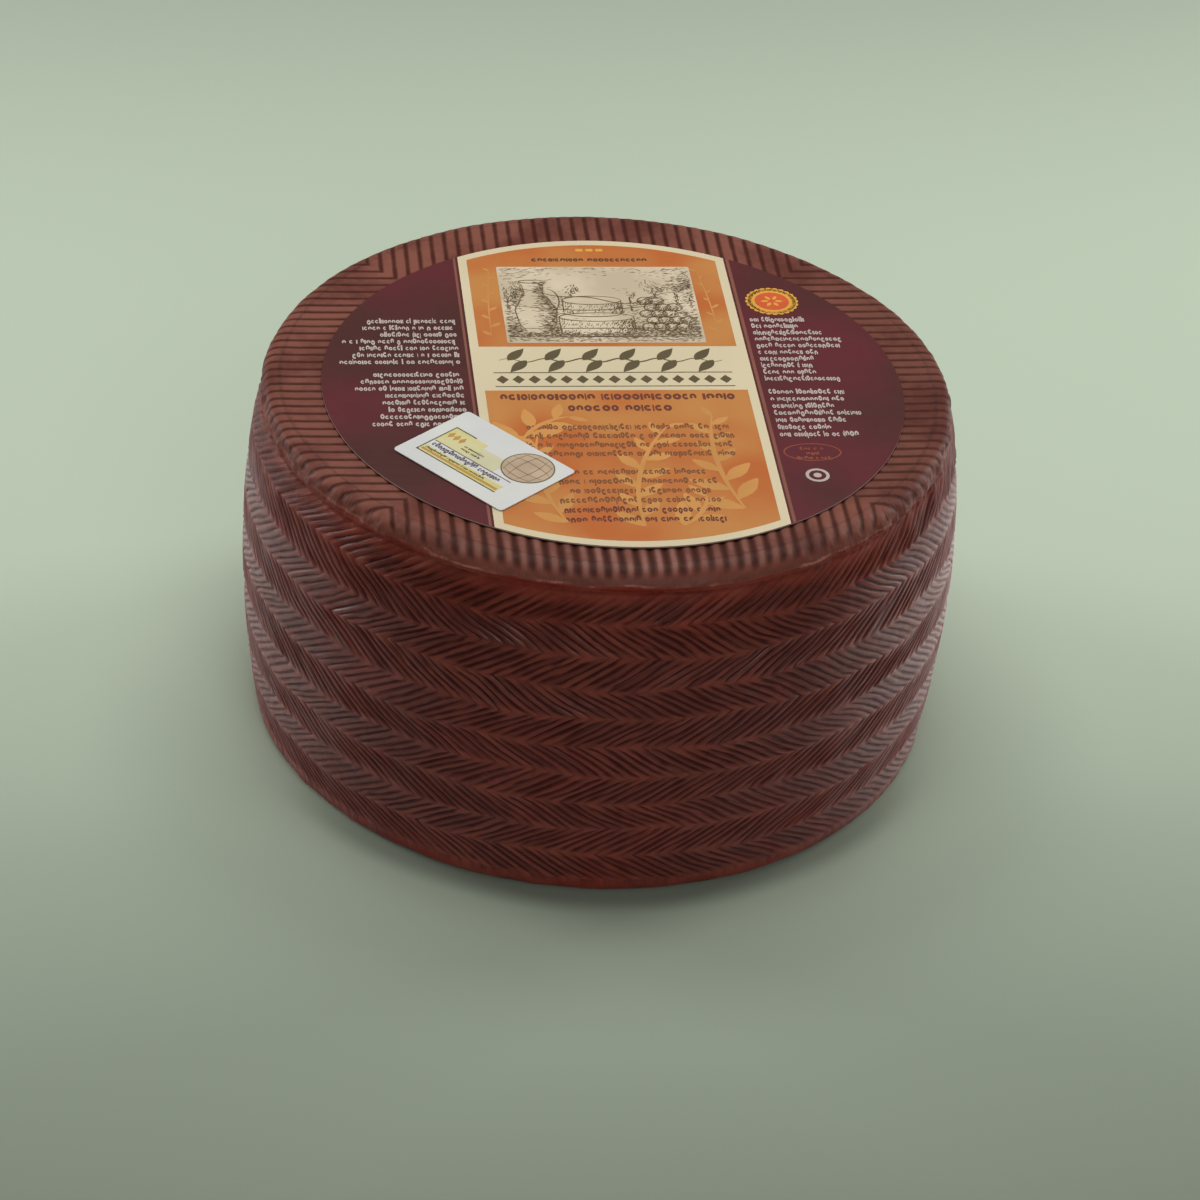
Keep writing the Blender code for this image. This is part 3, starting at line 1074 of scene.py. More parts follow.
def print_lines(name):
    """Lines of plain printed shapes that stand for small print, with uneven words."""
    graph, given, result = geometry_tree(
        name, lines=4, shapes_per_line=44, pitch=3.6 * MM, width=30.0 * MM, least_share=0.6,
        shape_height=1.5 * MM, shape_width=1.3 * MM, tall_share=0.3, align=0.0, thickness=INK,
        seed=0)
    per_line = given["Shapes Per Line"]
    dots = graph.out("GeometryNodeMeshLine",
                     {"Count": given["Lines"] * per_line, "Offset": (0.0, 0.0, 0.0)})
    index = graph.out("GeometryNodeInputIndex")
    line = (index / per_line).math("FLOOR")

    def draw(low, high, salt, which=index):
        return graph.draw(given["Seed"] + salt, low, high, ID=which)

    # Each shape is one of four kinds, the first of them narrow, and a few have a tall part.
    kind = draw(0.0, 3.99, 5.0).math("FLOOR")
    wide = (draw(0.75, 1.0, 1.0) + kind.math("LESS_THAN", 0.5) * -0.62) * given["Shape Width"]
    is_space = draw(0.0, 1.0, 2.0).math("LESS_THAN", 0.13)
    gap = (is_space * 0.6 + 0.07) * given["Shape Width"]
    is_tall = draw(0.0, 1.0, 3.0).math("LESS_THAN", given["Tall Share"])
    high = (is_tall * 0.42 + 1.0) * given["Shape Height"]
    shift = is_tall * draw(0.0, 1.0, 6.0).math("LESS_THAN", 0.3) * -0.42
    reach = draw(given["Least Share"], 1.0, 4.0, line) * given["Width"]

    stored = graph.store(dots, line=line, wide=wide, gap=gap, high=high, shift=shift,
                         reach=reach, kind=kind)
    line, wide, gap, high, shift, reach, kind, start = map(
        graph.fact, ("line", "wide", "gap", "high", "shift", "reach", "kind", "start"))

    def line_sum(output):
        return graph.out("GeometryNodeAccumulateField", {"Value": wide + gap, "Group ID": line},
                         output, data_type="FLOAT")

    # Shapes past the line's reach are left out, and the rest is aligned.
    started = graph.store(stored, start=line_sum("Trailing"))
    kept = graph.out("GeometryNodeDeleteGeometry",
                     {"Geometry": started,
                      "Selection": (start + wide).math("GREATER_THAN", reach)}, domain="POINT")
    x = wide * 0.5 + start - line_sum("Total") * given["Align"]
    y = high * 0.5 + shift * given["Shape Height"] - line * given["Pitch"]
    placed = graph.out("GeometryNodeSetPosition",
                       {"Geometry": kept, "Position": graph.combine(x, y, 0.0)})

    section = graph.out("GeometryNodeCurvePrimitiveQuadrilateral", {"Width": 0.34, "Height": 1.0})
    round_path = graph.out("GeometryNodeCurvePrimitiveCircle", {"Resolution": 9, "Radius": 0.33},
                           mode="RADIUS")
    bent_path = graph.out("GeometryNodeCurveArc",
                          {"Resolution": 8, "Radius": 0.33, "Start Angle": 0.25 * math.pi,
                           "Sweep Angle": 1.55 * math.pi}, mode="RADIUS")
    made = [graph.out("GeometryNodeMeshCube", {"Size": (1.0, 1.0, 1.0)})]
    for path in (round_path, bent_path):
        made.append(graph.out("GeometryNodeCurveToMesh",
                              {"Curve": path, "Profile Curve": section, "Fill Caps": True}))
    made.append(graph.out("GeometryNodeTransform",
                          {"Geometry": made[2], "Rotation": (0.0, 0.0, -0.5 * math.pi)}))
    shapes = graph.out("GeometryNodeJoinGeometry")
    for shape in made:
        alone = graph.out("GeometryNodeGeometryToInstance", {0: shape})
        graph.feed(shapes.socket.node.inputs[0], alone)
    stamped = graph.stamp(placed, shapes, Pick_Instance=True, Instance_Index=3.0 - kind,
                          Scale=graph.combine(wide, high, given["Thickness"]))
    return end_tree(graph, given, result, stamped)


def motif_row(name):
    """Repeats a motif along a row, each second one turned about if asked."""
    graph, given, result = geometry_tree(name, count=8, spacing=5.0 * MM, turn=0.0)
    start = graph.combine((given["Count"] - 1.0) * given["Spacing"] * -0.5)
    line = graph.out("GeometryNodeMeshLine",
                     {"Count": given["Count"], "Start Location": start,
                      "Offset": graph.combine(given["Spacing"])})
    turn = graph.out("GeometryNodeInputIndex") % 2.0 * given["Turn"]
    return end_tree(graph, given, result, graph.stamp(line, given["Geometry"], turn))


def motif_ring(name):
    """Repeats a motif round a ring, each copy turned to face outwards."""
    graph, given, result = geometry_tree(name, count=12, radius=5.0 * MM)
    ring = graph.out("GeometryNodeMeshCircle",
                     {"Vertices": given["Count"], "Radius": given["Radius"]})
    turn = graph.out("GeometryNodeInputIndex") / given["Count"] * math.tau
    return end_tree(graph, given, result, graph.stamp(ring, given["Geometry"], turn))


def engraver_strokes(name):
    """Covers a tone map with an engraver's short strokes, closer where the tone is darker."""
    graph, given, result = geometry_tree(
        name, closest=0.35 * MM, density=3.0e6, stroke_length=1.8 * MM, stroke_width=0.22 * MM,
        thickness=INK, seed=0)
    tone = graph.fact("tone")
    dots = graph.out("GeometryNodeDistributePointsOnFaces",
                     {"Mesh": given["Geometry"], "Distance Min": given["Closest"],
                      "Density Max": given["Density"], "Density Factor": tone,
                      "Seed": given["Seed"]}, "Points", distribute_method="POISSON")
    turn = graph.fact("lean") + graph.draw(given["Seed"] + 1.0, -0.16, 0.16)
    long = graph.draw(given["Seed"] + 2.0, 0.6, 1.25) * given["Stroke Length"]
    heavy = graph.draw(given["Seed"] + 3.0, 0.7, 1.2) * (tone * 0.8 + 0.5)
    lozenge = graph.out("GeometryNodeMeshCylinder",
                        {"Vertices": 4, "Radius": 0.5, "Depth": 1.0}, fill_type="NGON")
    scale = graph.combine(long, heavy * given["Stroke Width"], given["Thickness"])
    return end_tree(graph, given, result, graph.stamp(dots, lozenge, turn, Scale=scale))


def sprig(name):
    """Sets leaves along a stem, to the left and the right by turns, smaller to the tip."""
    graph, given, result = geometry_tree(
        name, leaves=12, leaf_length=10.0 * MM, leaf_width=3.0 * MM, spread=0.7, thickness=INK,
        seed=0)
    stem = graph.out("GeometryNodeMeshToCurve", {"Mesh": given["Geometry"]})
    knots = graph.out("GeometryNodeCurveToPoints", {"Curve": stem, "Count": given["Leaves"]},
                      "Points", mode="COUNT")
    tangent = graph.split(Value(graph, knots.socket.node.outputs["Tangent"]))
    index = graph.out("GeometryNodeInputIndex")
    side = index % 2.0 * -2.0 + 1.0
    draw = graph.draw(given["Seed"], 0.8, 1.2)
    turn = tangent[1].math("ARCTAN2", tangent[0]) + given["Spread"] * side * draw
    size = (index / given["Leaves"] * -0.5 + 1.0) * draw
    lift = index % 4.0 * (given["Thickness"] * 0.25)
    raised = graph.out("GeometryNodeSetPosition",
                       {"Geometry": knots, "Offset": graph.combine(0.0, 0.0, lift)})
    oval = graph.out("GeometryNodeMeshCylinder", {"Vertices": 14, "Radius": 0.5, "Depth": 1.0},
                     fill_type="NGON")
    x, y, z = graph.split(graph.out("GeometryNodeInputPosition"))
    pointed = graph.combine(x + 0.5, y * (abs(x) * -1.2 + 1.1), z)
    leaf = graph.out("GeometryNodeSetPosition", {"Geometry": oval, "Position": pointed})
    scale = graph.combine(given["Leaf Length"] * size, given["Leaf Width"] * size,
                          given["Thickness"])
    return end_tree(graph, given, result, graph.stamp(raised, leaf, turn, Scale=scale))


def print_block(name, x, y, ink, layer=2, paper=PAPER_TOP, **values):
    """A block of small print: x is where its lines are aligned."""
    piece = from_points(name)
    run_tree(piece, print_lines, material=ink, thickness=INK, **values)
    return place(piece, x, y, paper + (layer + 0.5) * INK)


def motifs(name, outline, ink, build, x, y, layer, paper=PAPER_TOP, lean=0.0, **values):
    """A flat motif of ink that a tree repeats, with its middle in one of the layers."""
    piece = slab(name, outline, -0.5 * INK, 0.5 * INK, ink)
    place(piece, 0.0, 0.0, 0.0, lean)
    run_tree(piece, build, material=ink, **values)
    return place(piece, x, y, paper + (layer + 0.5) * INK)


class CHEESE_OT_small_print(bpy.types.Operator):
    """Print the label's small lines as plain shapes with no lettering"""

    bl_idname = "cheese.small_print"
    bl_label = "Small print"

    def execute(self, context):
        inks = context.scene.cheese_label
        pale = plain_ink("pale_ink", inks.pale_colour)
        dark = plain_ink("dark_ink", inks.dark_colour)
        faint = plain_ink("faint_ink", (0.225, 0.080, 0.026))
        rust = plain_ink("heading_ink", (0.165, 0.040, 0.020))
        left, right = -40.2 * MM, 43.1 * MM
        middle, notes = BAND_MIDDLE, BAND_MIDDLE + 1.0 * MM
        # Name, place, ink, lines, pitch, width, the least share of the width, alignment, seed's
        # step, a shape's height and width, and the share of tall shapes. Sizes in millimetres.
        for (name, x, y, ink, lines, pitch, width, least, align, salt, high, wide, tall) in (
                ("lines_left_upper", left, 28.6, pale, 7, 3.65, 34.0, 0.6, 1.0, 1, 1.95, 1.22, 0.3),
                ("lines_left_lower", left, 0.0, pale, 8, 3.61, 34.0, 0.6, 1.0, 2, 1.95, 1.22, 0.3),
                ("lines_right_upper", right, 29.2, pale, 10, 3.54, 31.0, 0.3, 0.0, 3, 1.95, 1.22,
                 0.3),
                ("lines_right_lower", right, -9.6, pale, 7, 3.62, 31.0, 0.45, 0.0, 4, 1.95, 1.22,
                 0.3),
                ("line_heading", middle, -12.2, rust, 1, 3.6, 64.5, 1.0, 0.5, 5, 3.1, 2.5, 0.0),
                ("line_heading_low", middle, -18.0, rust, 1, 3.6, 28.5, 1.0, 0.5, 6, 3.1, 2.5, 0.0),
                ("lines_notes", notes, -27.2, faint, 4, 4.43, 67.0, 0.72, 0.5, 7, 2.1, 1.5, 0.3),
                ("lines_address", notes, -49.4, faint, 4, 4.5, 44.0, 0.8, 0.5, 8, 2.1, 1.5, 0.3),
                ("lines_foot", notes, -67.5, rust, 2, 4.4, 43.0, 0.9, 0.5, 10, 2.1, 1.5, 0.3),
                ("line_crown", middle, 63.4, dark, 1, 3.6, 34.0, 1.0, 0.5, 9, 1.9, 1.7, 0.0)):
            add_to_body(print_block(
                name, x, y * MM, ink, lines=lines, pitch=pitch * MM, width=width * MM,
                least_share=least, align=align, seed=inks.seed + salt, shape_height=high * MM,
                shape_width=wide * MM, tall_share=tall))
        return {"FINISHED"}


# The engraving


def ellipse_share(x, y, centre_x, centre_y, wide, high):
    """How far a point is from an ellipse's centre, where 1 is its outline."""
    return math.hypot((x - centre_x) / wide, (y - centre_y) / high)


# A still life before hills, in shares of the picture's width and height: the jug's half widths
# and heights, the grapes, the two cheeses as centre, foot, top and half width, and the trees.
JUG = ((0.10, 0.13), (0.155, 0.27), (0.17, 0.42), (0.12, 0.56), (0.075, 0.64), (0.085, 0.74),
       (0.11, 0.80))
JUG_MIDDLE = 0.17
JUG_SHARE = 0.62
BERRIES = [(0.735 + 0.058 * column + 0.029 * (row % 2), 0.20 + 0.085 * row, 0.040)
           for row in range(5) for column in range(4 - row // 2)]
ROUNDS = ((0.47, 0.13, 0.33, 0.19), (0.46, 0.385, 0.55, 0.150))
LID = 0.055
TABLE = 0.185
TABLE_EDGE = 0.075
TREES = ((0.035, 0.70, 0.10), (0.36, 0.70, 0.045), (0.90, 0.80, 0.105), (0.79, 0.74, 0.075),
         (0.97, 0.66, 0.07), (0.66, 0.62, 0.035))


def spot(x, y):
    """A place on the label for a place in the picture."""
    return (PICTURE_LEFT + PICTURE_WIDTH * x, PICTURE_FOOT + PICTURE_HEIGHT * y)


def jug_width(y):
    """Half the jug's width at a height, or 0 outside it."""
    for (low_width, low), (high_width, high) in zip(JUG, JUG[1:]):
        if low <= y <= high:
            share = (y - low) / (high - low)
            eased = share * share * (3.0 - 2.0 * share)
            return JUG_SHARE * (low_width + (high_width - low_width) * eased)
    return 0.0


def hill_height(x):
    """Height of the far hills' line."""
    return 0.60 + 0.07 * math.sin(7.0 * x + 0.6) + 0.03 * math.sin(17.0 * x)


def near_hill_height(x):
    """Height of the near hills' line."""
    return 0.47 + 0.05 * math.sin(5.0 * x + 2.6)


def picture_tone(x, y):
    """Tone and stroke angle at a place in the picture, both given by its simple shapes."""
    for berry_x, berry_y, size in BERRIES:
        if ellipse_share(x, y, berry_x, berry_y, size, size * 1.25) < 1.0:
            light = ellipse_share(x, y, berry_x - 0.4 * size, berry_y + 0.5 * size, size, size)
            return min(0.05 + 0.85 * light, 1.0), math.radians(40.0)
    half = jug_width(y)
    if abs(x - JUG_MIDDLE) < half:
        across = (x - JUG_MIDDLE) / half
        shade = max(across + 0.25, -0.55 * (across + 0.45), 0.0)
        return min(0.02 + 0.95 * shade, 1.0), -0.5 * across
    for centre, low, high, wide in ROUNDS:
        if ellipse_share(x, y, centre, high, wide, LID) < 1.0:
            return 0.04, 0.0
        if abs(x - centre) < wide and low < y < high:
            across = (x - centre) / wide
            edge = max(across - 0.1, -0.7 * across - 0.3, 0.0)
            return min(0.28 + 0.85 * edge, 1.0), 1.35
    if y < TABLE:
        return (0.95 if y > TABLE_EDGE else 0.5), 0.0
    for tree_x, tree_y, size in TREES:
        share = ellipse_share(x, y, tree_x, tree_y, size, 1.3 * size)
        if share < 1.0 + 0.14 * math.sin(60.0 * x) * math.cos(70.0 * y):
            shade = 0.5 + 0.5 * (x - tree_x) / size - 0.3 * (y - tree_y) / size
            return min(max(shade, 0.25), 1.0), math.radians(70.0) + 9.0 * x
        if abs(x - tree_x) < 0.008 and near_hill_height(x) - 0.05 < y < tree_y:
            return 1.0, math.radians(90.0)
    if y < near_hill_height(x):
        depth = (near_hill_height(x) - y) / 0.28
        return min(0.25 + 0.6 * depth, 0.85), math.radians(12.0)
    if y < hill_height(x):
        return 0.42 + 0.25 * math.sin(20.0 * x), math.radians(-35.0)
    corner = max(0.0, abs(x - 0.5) - 0.2) + max(0.0, y - 0.86) * 2.0
    return min(0.02 + 0.9 * corner, 0.5), 0.15 * math.sin(9.0 * x)


def tone_map(name, columns=150, rows=112, margin=0.015):
    """A grid over the picture that holds each place's tone and stroke angle."""
    reach = 1.0 - 2.0 * margin
    grid = [(margin + reach * column / columns, margin + reach * row / rows)
            for row in range(rows + 1) for column in range(columns + 1)]
    marks = [picture_tone(x, y) for x, y in grid]
    across = columns + 1
    faces = [(first, first + 1, first + across + 1, first + across)
             for first in range(rows * across) if (first + 1) % across]
    points = [(*spot(x, y), PAPER_TOP + 3.5 * INK) for x, y in grid]
    return from_points(name, points, (), faces, tone=[tone ** 1.2 for tone, _ in marks],
                       lean=[lean for _, lean in marks])


def oval_path(centre_x, centre_y, half_wide, half_high, steps=24, start=0.0, sweep=math.tau):
    """A line round an oval in the picture, or along a part of it."""
    angles = [start + sweep * step / steps for step in range(steps + 1)]
    return [spot(centre_x + half_wide * math.cos(a), centre_y + half_high * math.sin(a))
            for a in angles]


def outline_paths():
    """The lines that an engraver draws round the things in the picture."""
    foot, top = JUG[0][1], JUG[-1][1]
    heights = [foot + 0.001 + 0.998 * (top - foot) * step / 24 for step in range(25)]
    paths = [[spot(JUG_MIDDLE + side * jug_width(y), y) for y in heights] for side in (-1.0, 1.0)]
    paths.append(oval_path(JUG_MIDDLE, top, JUG_SHARE * JUG[-1][0], 0.02))
    paths.append(oval_path(JUG_MIDDLE + 0.07, 0.55, 0.055, 0.15, 14, math.radians(-80.0),
                           math.radians(170.0)))
    for centre, low, high, half in ROUNDS:
        paths.append(oval_path(centre, high, half, LID, 40))
        paths.append(oval_path(centre, low, half, 0.05, 24, math.pi, math.pi))
        for side in (-1.0, 1.0):
            paths.append([spot(centre + side * half, low + (high - low) * step / 4)
                          for step in range(5)])
    paths += [oval_path(x, y, size, 1.25 * size, 18) for x, y, size in BERRIES]
    for line_height in (hill_height, near_hill_height, lambda x: TABLE, lambda x: TABLE_EDGE):
        across = [0.02 + 0.96 * step / 60 for step in range(61)]
        paths.append([spot(x, line_height(x)) for x in across])
    return paths


class CHEESE_OT_engraving(bpy.types.Operator):
    """Print a still life in an engraver's strokes on the label's cream picture field"""

    bl_idname = "cheese.engraving"
    bl_label = "Engraving"

    def execute(self, context):
        inks = context.scene.cheese_label
        parchment = paper_material("parchment_ink", (0.70, 0.60, 0.44), (0.52, 0.43, 0.30), 0.8,
                                   60.0, 0.45, 0.2, 0.6)
        sepia = plain_ink("sepia_ink", inks.sepia_colour)
        outline = box_outline(*spot(0.0, 0.0), *spot(1.0, 1.0), 0.6 * MM)
        add_to_body(ink_slab("picture_field", outline, 2, parchment))
        strokes = tone_map("picture_strokes")
        run_tree(strokes, engraver_strokes, closest=0.34 * MM, density=6.0e6,
                 stroke_length=1.35 * MM, stroke_width=0.33 * MM, thickness=INK, seed=inks.seed,
                 material=sepia)
        add_to_body(strokes)
        low = PAPER_TOP + 2.5 * INK
        add_to_body(ribbon("picture_outlines", outline_paths(), 0.42 * MM, low, low + 1.6 * INK,
                           sepia))
        return {"FINISHED"}


# Ornament and marks


class CHEESE_OT_ornament(bpy.types.Operator):
    """Print the sprigs behind the orange fields and the leafy frieze on the title's field"""

    bl_idname = "cheese.ornament"
    bl_label = "Ornament"

    def execute(self, context):
        inks = context.scene.cheese_label
        amber = paper_material("amber_ink", rgba(inks.amber_colour, 1.12),
                               rgba(inks.amber_colour, 0.95), 0.8, 60.0, 0.46, 0.08, 0.5)
        olive = plain_ink("olive_ink", (0.115, 0.088, 0.040))
        # Name, start, heading and bend in degrees, length in millimetres, leaves and their size.
        sprigs = (
            ("sprig_right", 29.0, -66.0, 108.0, -30.0, 46.0, 11, 1.0),
            ("sprig_middle", 2.0, -74.0, 96.0, -40.0, 50.0, 12, 1.0),
            ("sprig_left", -18.0, -72.0, 112.0, -34.0, 42.0, 10, 1.0),
            ("sprig_upper", -27.0, -34.0, 72.0, -60.0, 20.0, 6, 1.0),
            ("sprig_low_right", 12.0, -74.0, 40.0, 44.0, 16.0, 5, 1.0),
            ("sprig_top_left", -30.5, 22.0, 90.0, -6.0, 36.0, 9, 0.32),
            ("sprig_top_right", 33.4, 24.0, 90.0, 8.0, 34.0, 9, 0.32))
        steps = 16
        for number, (name, x, y, heading, bend, reach, leaves, size) in enumerate(sprigs):
            path = [(x * MM, y * MM)]
            for step in range(steps):
                angle = math.radians(heading + bend * step / steps)
                stride = reach * MM / steps
                path.append((path[-1][0] + stride * math.cos(angle),
                             path[-1][1] + stride * math.sin(angle)))
            piece = from_points(name, [(px, py, 0.0) for px, py in path],
                                [(i, i + 1) for i in range(steps)])
            run_tree(piece, sprig, leaves=leaves, leaf_length=size * 11.0 * MM,
                     leaf_width=size * 4.2 * MM, spread=0.75, thickness=0.5 * INK, seed=number,
                     material=amber)
            add_to_body(place(piece, 0.0, 0.0, PAPER_TOP + (1.9 + 0.11 * number) * INK))
            add_to_body(ribbon(name + "_stem", [path], size * 1.4 * MM, PAPER_TOP + 1.5 * INK,
                               PAPER_TOP + 3.3 * INK, amber))

        add_to_body(motifs("frieze_leaves", leaf_outline(8.0 * MM, 3.3 * MM), olive, motif_row,
                           BAND_MIDDLE, 8.6 * MM, 1, lean=math.radians(52.0), count=12,
                           spacing=5.2 * MM, turn=math.pi))
        wave = [(BAND_MIDDLE + (x - 31.0) * MM,
                 (8.6 + 0.9 * math.cos(math.pi * (x - 2.4) / 5.2)) * MM)
                for x in np.linspace(0.0, 62.0, 121)]
        add_to_body(ribbon("frieze_stem", [wave], 0.6 * MM, PAPER_TOP + INK,
                           PAPER_TOP + 2.4 * INK, olive))
        add_to_body(motifs("frieze_lozenges", lozenge_outline(1.7 * MM, 2.1 * MM), olive,
                           motif_row, BAND_MIDDLE, -1.5 * MM, 1, count=15, spacing=4.4 * MM))
        for name, y in (("frieze_rule_upper", 2.1 * MM), ("frieze_rule_lower", -5.1 * MM)):
            outline = box_outline(BAND_MIDDLE - 33.0 * MM, y - 0.2 * MM,
                                  BAND_MIDDLE + 33.0 * MM, y + 0.2 * MM)
            add_to_body(ink_slab(name, outline, 1, olive))
        return {"FINISHED"}


class CHEESE_OT_marks(bpy.types.Operator):
    """Print the small plain marks on the label: rosette, oval, ring and crown dots"""

    bl_idname = "cheese.marks"
    bl_label = "Small marks"

    def execute(self, context):
        yellow = plain_ink("yellow_ink", (0.78, 0.40, 0.06))
        red = plain_ink("red_ink", (0.68, 0.115, 0.030))
        rust = plain_ink("rust_ink", (0.30, 0.070, 0.035))
        pale = plain_ink("pale_mark_ink", context.scene.cheese_label.pale_colour)
        low = PAPER_TOP - 0.5 * INK
        high = PAPER_TOP + INK
        x, y = 50.9 * MM, 40.7 * MM
        add_to_body(ink_slab("rosette_disc", disc_outline(x, y, 6.9 * MM), 0, yellow))
        add_to_body(motifs("rosette_petals", disc_outline(0.0, 0.0, 0.95 * MM, 12), yellow,
                           motif_ring, x, y, 0, count=24, radius=6.7 * MM))
        add_to_body(ink_slab("rosette_heart", disc_outline(x, y, 4.9 * MM), 1, red))
        add_to_body(motifs("rosette_seeds", leaf_outline(2.4 * MM, 1.1 * MM), yellow, motif_ring,
                           x, y, 2, count=6, radius=0.9 * MM))
        x, y = 50.7 * MM, -39.0 * MM
        add_to_body(ring_slab("oval_ring", x, y, 4.3 * MM, 3.95 * MM, low, high, rust, 1.82))
        add_to_body(print_block("oval_lines", x, y + 1.1 * MM, rust, 0, lines=3, pitch=2.3 * MM,
                                width=10.0 * MM, least_share=0.35, align=0.5,
                                shape_height=1.1 * MM, shape_width=1.1 * MM, seed=5))
        x, y = 50.4 * MM, -50.3 * MM
        add_to_body(ring_slab("pale_ring", x, y, 3.2 * MM, 2.3 * MM, low, high, pale))
        add_to_body(ink_slab("pale_dot", disc_outline(x, y, 1.1 * MM, 24), 0, pale))
        dot = box_outline(-1.1 * MM, -0.75 * MM, 1.1 * MM, 0.75 * MM, 0.5 * MM)
        add_to_body(motifs("crown_dots", dot, yellow, motif_row, 1.4 * MM, 70.0 * MM, 2, count=3,
                           spacing=2.9 * MM))
        return {"FINISHED"}


# The sticker


def add_to_card(piece, *nodes):
    """Put a piece that was made about the card's centre in its place, on the wheel's body."""
    place(piece, CARD_CENTRE.x, CARD_CENTRE.y, 0.0, CARD_TURN)
    return add_to_body(piece, "sticker_paper", *nodes)


def card_field(name, left, foot, right, top, layer, ink):
    """A field of ink on the card, in millimetres from its centre."""
    outline = box_outline(left * MM, foot * MM, right * MM, top * MM)
    add_to_card(ink_slab(name, outline, layer, ink, CARD_TOP))


def lattice_paths(x, y):
    """Bowed lines both ways across the card's disc, in metres."""
    paths = []
    for offset in (-4.2, -1.4, 1.4, 4.2):
        reach = math.sqrt(6.6 ** 2 - offset ** 2)
        steps = [reach * (step / 6.0 - 1.0) for step in range(13)]
        bows = [offset + math.copysign(0.9 * (1.0 - (s / reach) ** 2), offset) for s in steps]
        paths.append([(x + s * MM, y + b * MM) for s, b in zip(steps, bows)])
        paths.append([(x + b * MM, y + s * MM) for s, b in zip(steps, bows)])
    return paths


class CHEESE_OT_sticker(bpy.types.Operator):
    """Make the small white paper sticker with its printed panel and disc"""

    bl_idname = "cheese.sticker"
    bl_label = "Paper sticker"

    def execute(self, context):
        white = paper_material("sticker_paper", (0.69, 0.70, 0.67), (0.62, 0.64, 0.63), 0.7, 45.0,
                               0.45, 0.25, 0.0)
        lemon = paper_material("lemon_ink", (0.62, 0.57, 0.21), (0.66, 0.62, 0.34), 1.0, 70.0,
                               0.45, 0.2, 0.0)
        straw = plain_ink("straw_ink", (0.66, 0.63, 0.41))
        olive = plain_ink("outline_ink", (0.10, 0.085, 0.025))
        umber = plain_ink("lattice_ink", (0.24, 0.17, 0.11))
        ochre = plain_ink("ochre_ink", (0.54, 0.29, 0.06))
        slate = plain_ink("slate_ink", (0.11, 0.09, 0.10))
        clay = paper_material("clay_ink", (0.56, 0.43, 0.29), (0.46, 0.35, 0.24), 1.0, 160.0, 0.5,
                              0.1, 0.0)
        chalk = plain_ink("chalk_ink", (0.70, 0.70, 0.70))
        right, top = 0.5 * CARD_LENGTH, 0.5 * CARD_WIDTH
        outline = box_outline(-right, -top, right, top, CARD_CORNER)
        add_to_card(slab("sticker_card", outline, CARD_LOW.z, CARD_HIGH.z, white),
                    "paper_sticker")
        # Name, left, foot, right, top, layer and ink of each field.
        for field in (
                ("panel_outline", -16.2, -9.3, 12.7, -8.9, 0, olive),
                ("panel_side", -16.2, -9.3, -15.8, 6.1, 0, olive),
                ("panel_crest", -16.2, 5.7, -8.6, 6.1, 1, olive),
                ("panel_yellow", -15.8, -2.6, -4.0, 5.7, 0, lemon),
                ("panel_pale", -4.0, -2.6, 5.5, 3.8, 0, straw),
                ("panel_stripe", -15.8, -8.9, 12.5, -5.7, 0, lemon),
                ("panel_stripe_line", -15.4, -8.3, 12.2, -7.4, 1, ochre),
                ("panel_rule", -15.4, -2.9, 12.4, -2.6, 1, slate)):
            card_field(*field)
        x, y = 10.6 * MM, 5.6 * MM
        add_to_card(ink_slab("card_disc", disc_outline(x, y, 7.0 * MM), 1, clay, CARD_TOP))
        add_to_card(ring_slab("card_disc_rim", x, y, 7.2 * MM, 6.9 * MM, CARD_TOP - 0.5 * INK,
                              CARD_TOP + 2.5 * INK, olive))
        add_to_card(ribbon("card_disc_lattice", lattice_paths(x, y), 0.28 * MM,
                           CARD_TOP + 1.5 * INK, CARD_TOP + 2.6 * INK, umber))
        add_to_card(motifs("card_lozenges", lozenge_outline(0.9 * MM, 1.6 * MM), ochre, motif_row,
                           -12.3 * MM, 2.2 * MM, 1, CARD_TOP, count=3, spacing=2.0 * MM))
        # Name, left end, foot of the first line, width and height of a shape, ink, lines.
        for name, x, y, width, high, ink, lines in (
                ("card_words", -14.8, -5.1, 27.0, 1.5, slate, 1),
                ("card_words_small", -8.0, 0.4, 8.0, 0.7, olive, 2),
                ("card_words_foot", -15.0, -7.1, 26.5, 0.7, olive, 1)):
            add_to_card(print_block(
                name, x * MM, y * MM, ink, 1, CARD_TOP, lines=lines, pitch=1.4 * MM,
                width=width * MM, least_share=0.85, shape_height=high * MM,
                shape_width=0.8 * high * MM, align=0.0, seed=lines))
        card_field("card_strip", -15.8, -5.7, 12.6, -2.9, 0, chalk)
        return {"FINISHED"}


# The stage


def area_light(name, place_at, aim, size, watts, tint):
    """A soft rectangular light at a place, turned to an aim."""
    data = bpy.data.lights.new(name, "AREA")
    data.shape = "RECTANGLE"
    data.size, data.size_y = size
    data.energy = watts
    data.color = tint
    light = bpy.data.objects.new(name, data)
    light.location = place_at
    light.rotation_euler = (Vector(aim) - Vector(place_at)).to_track_quat("-Z", "Y").to_euler()
    bpy.context.scene.collection.objects.link(light)


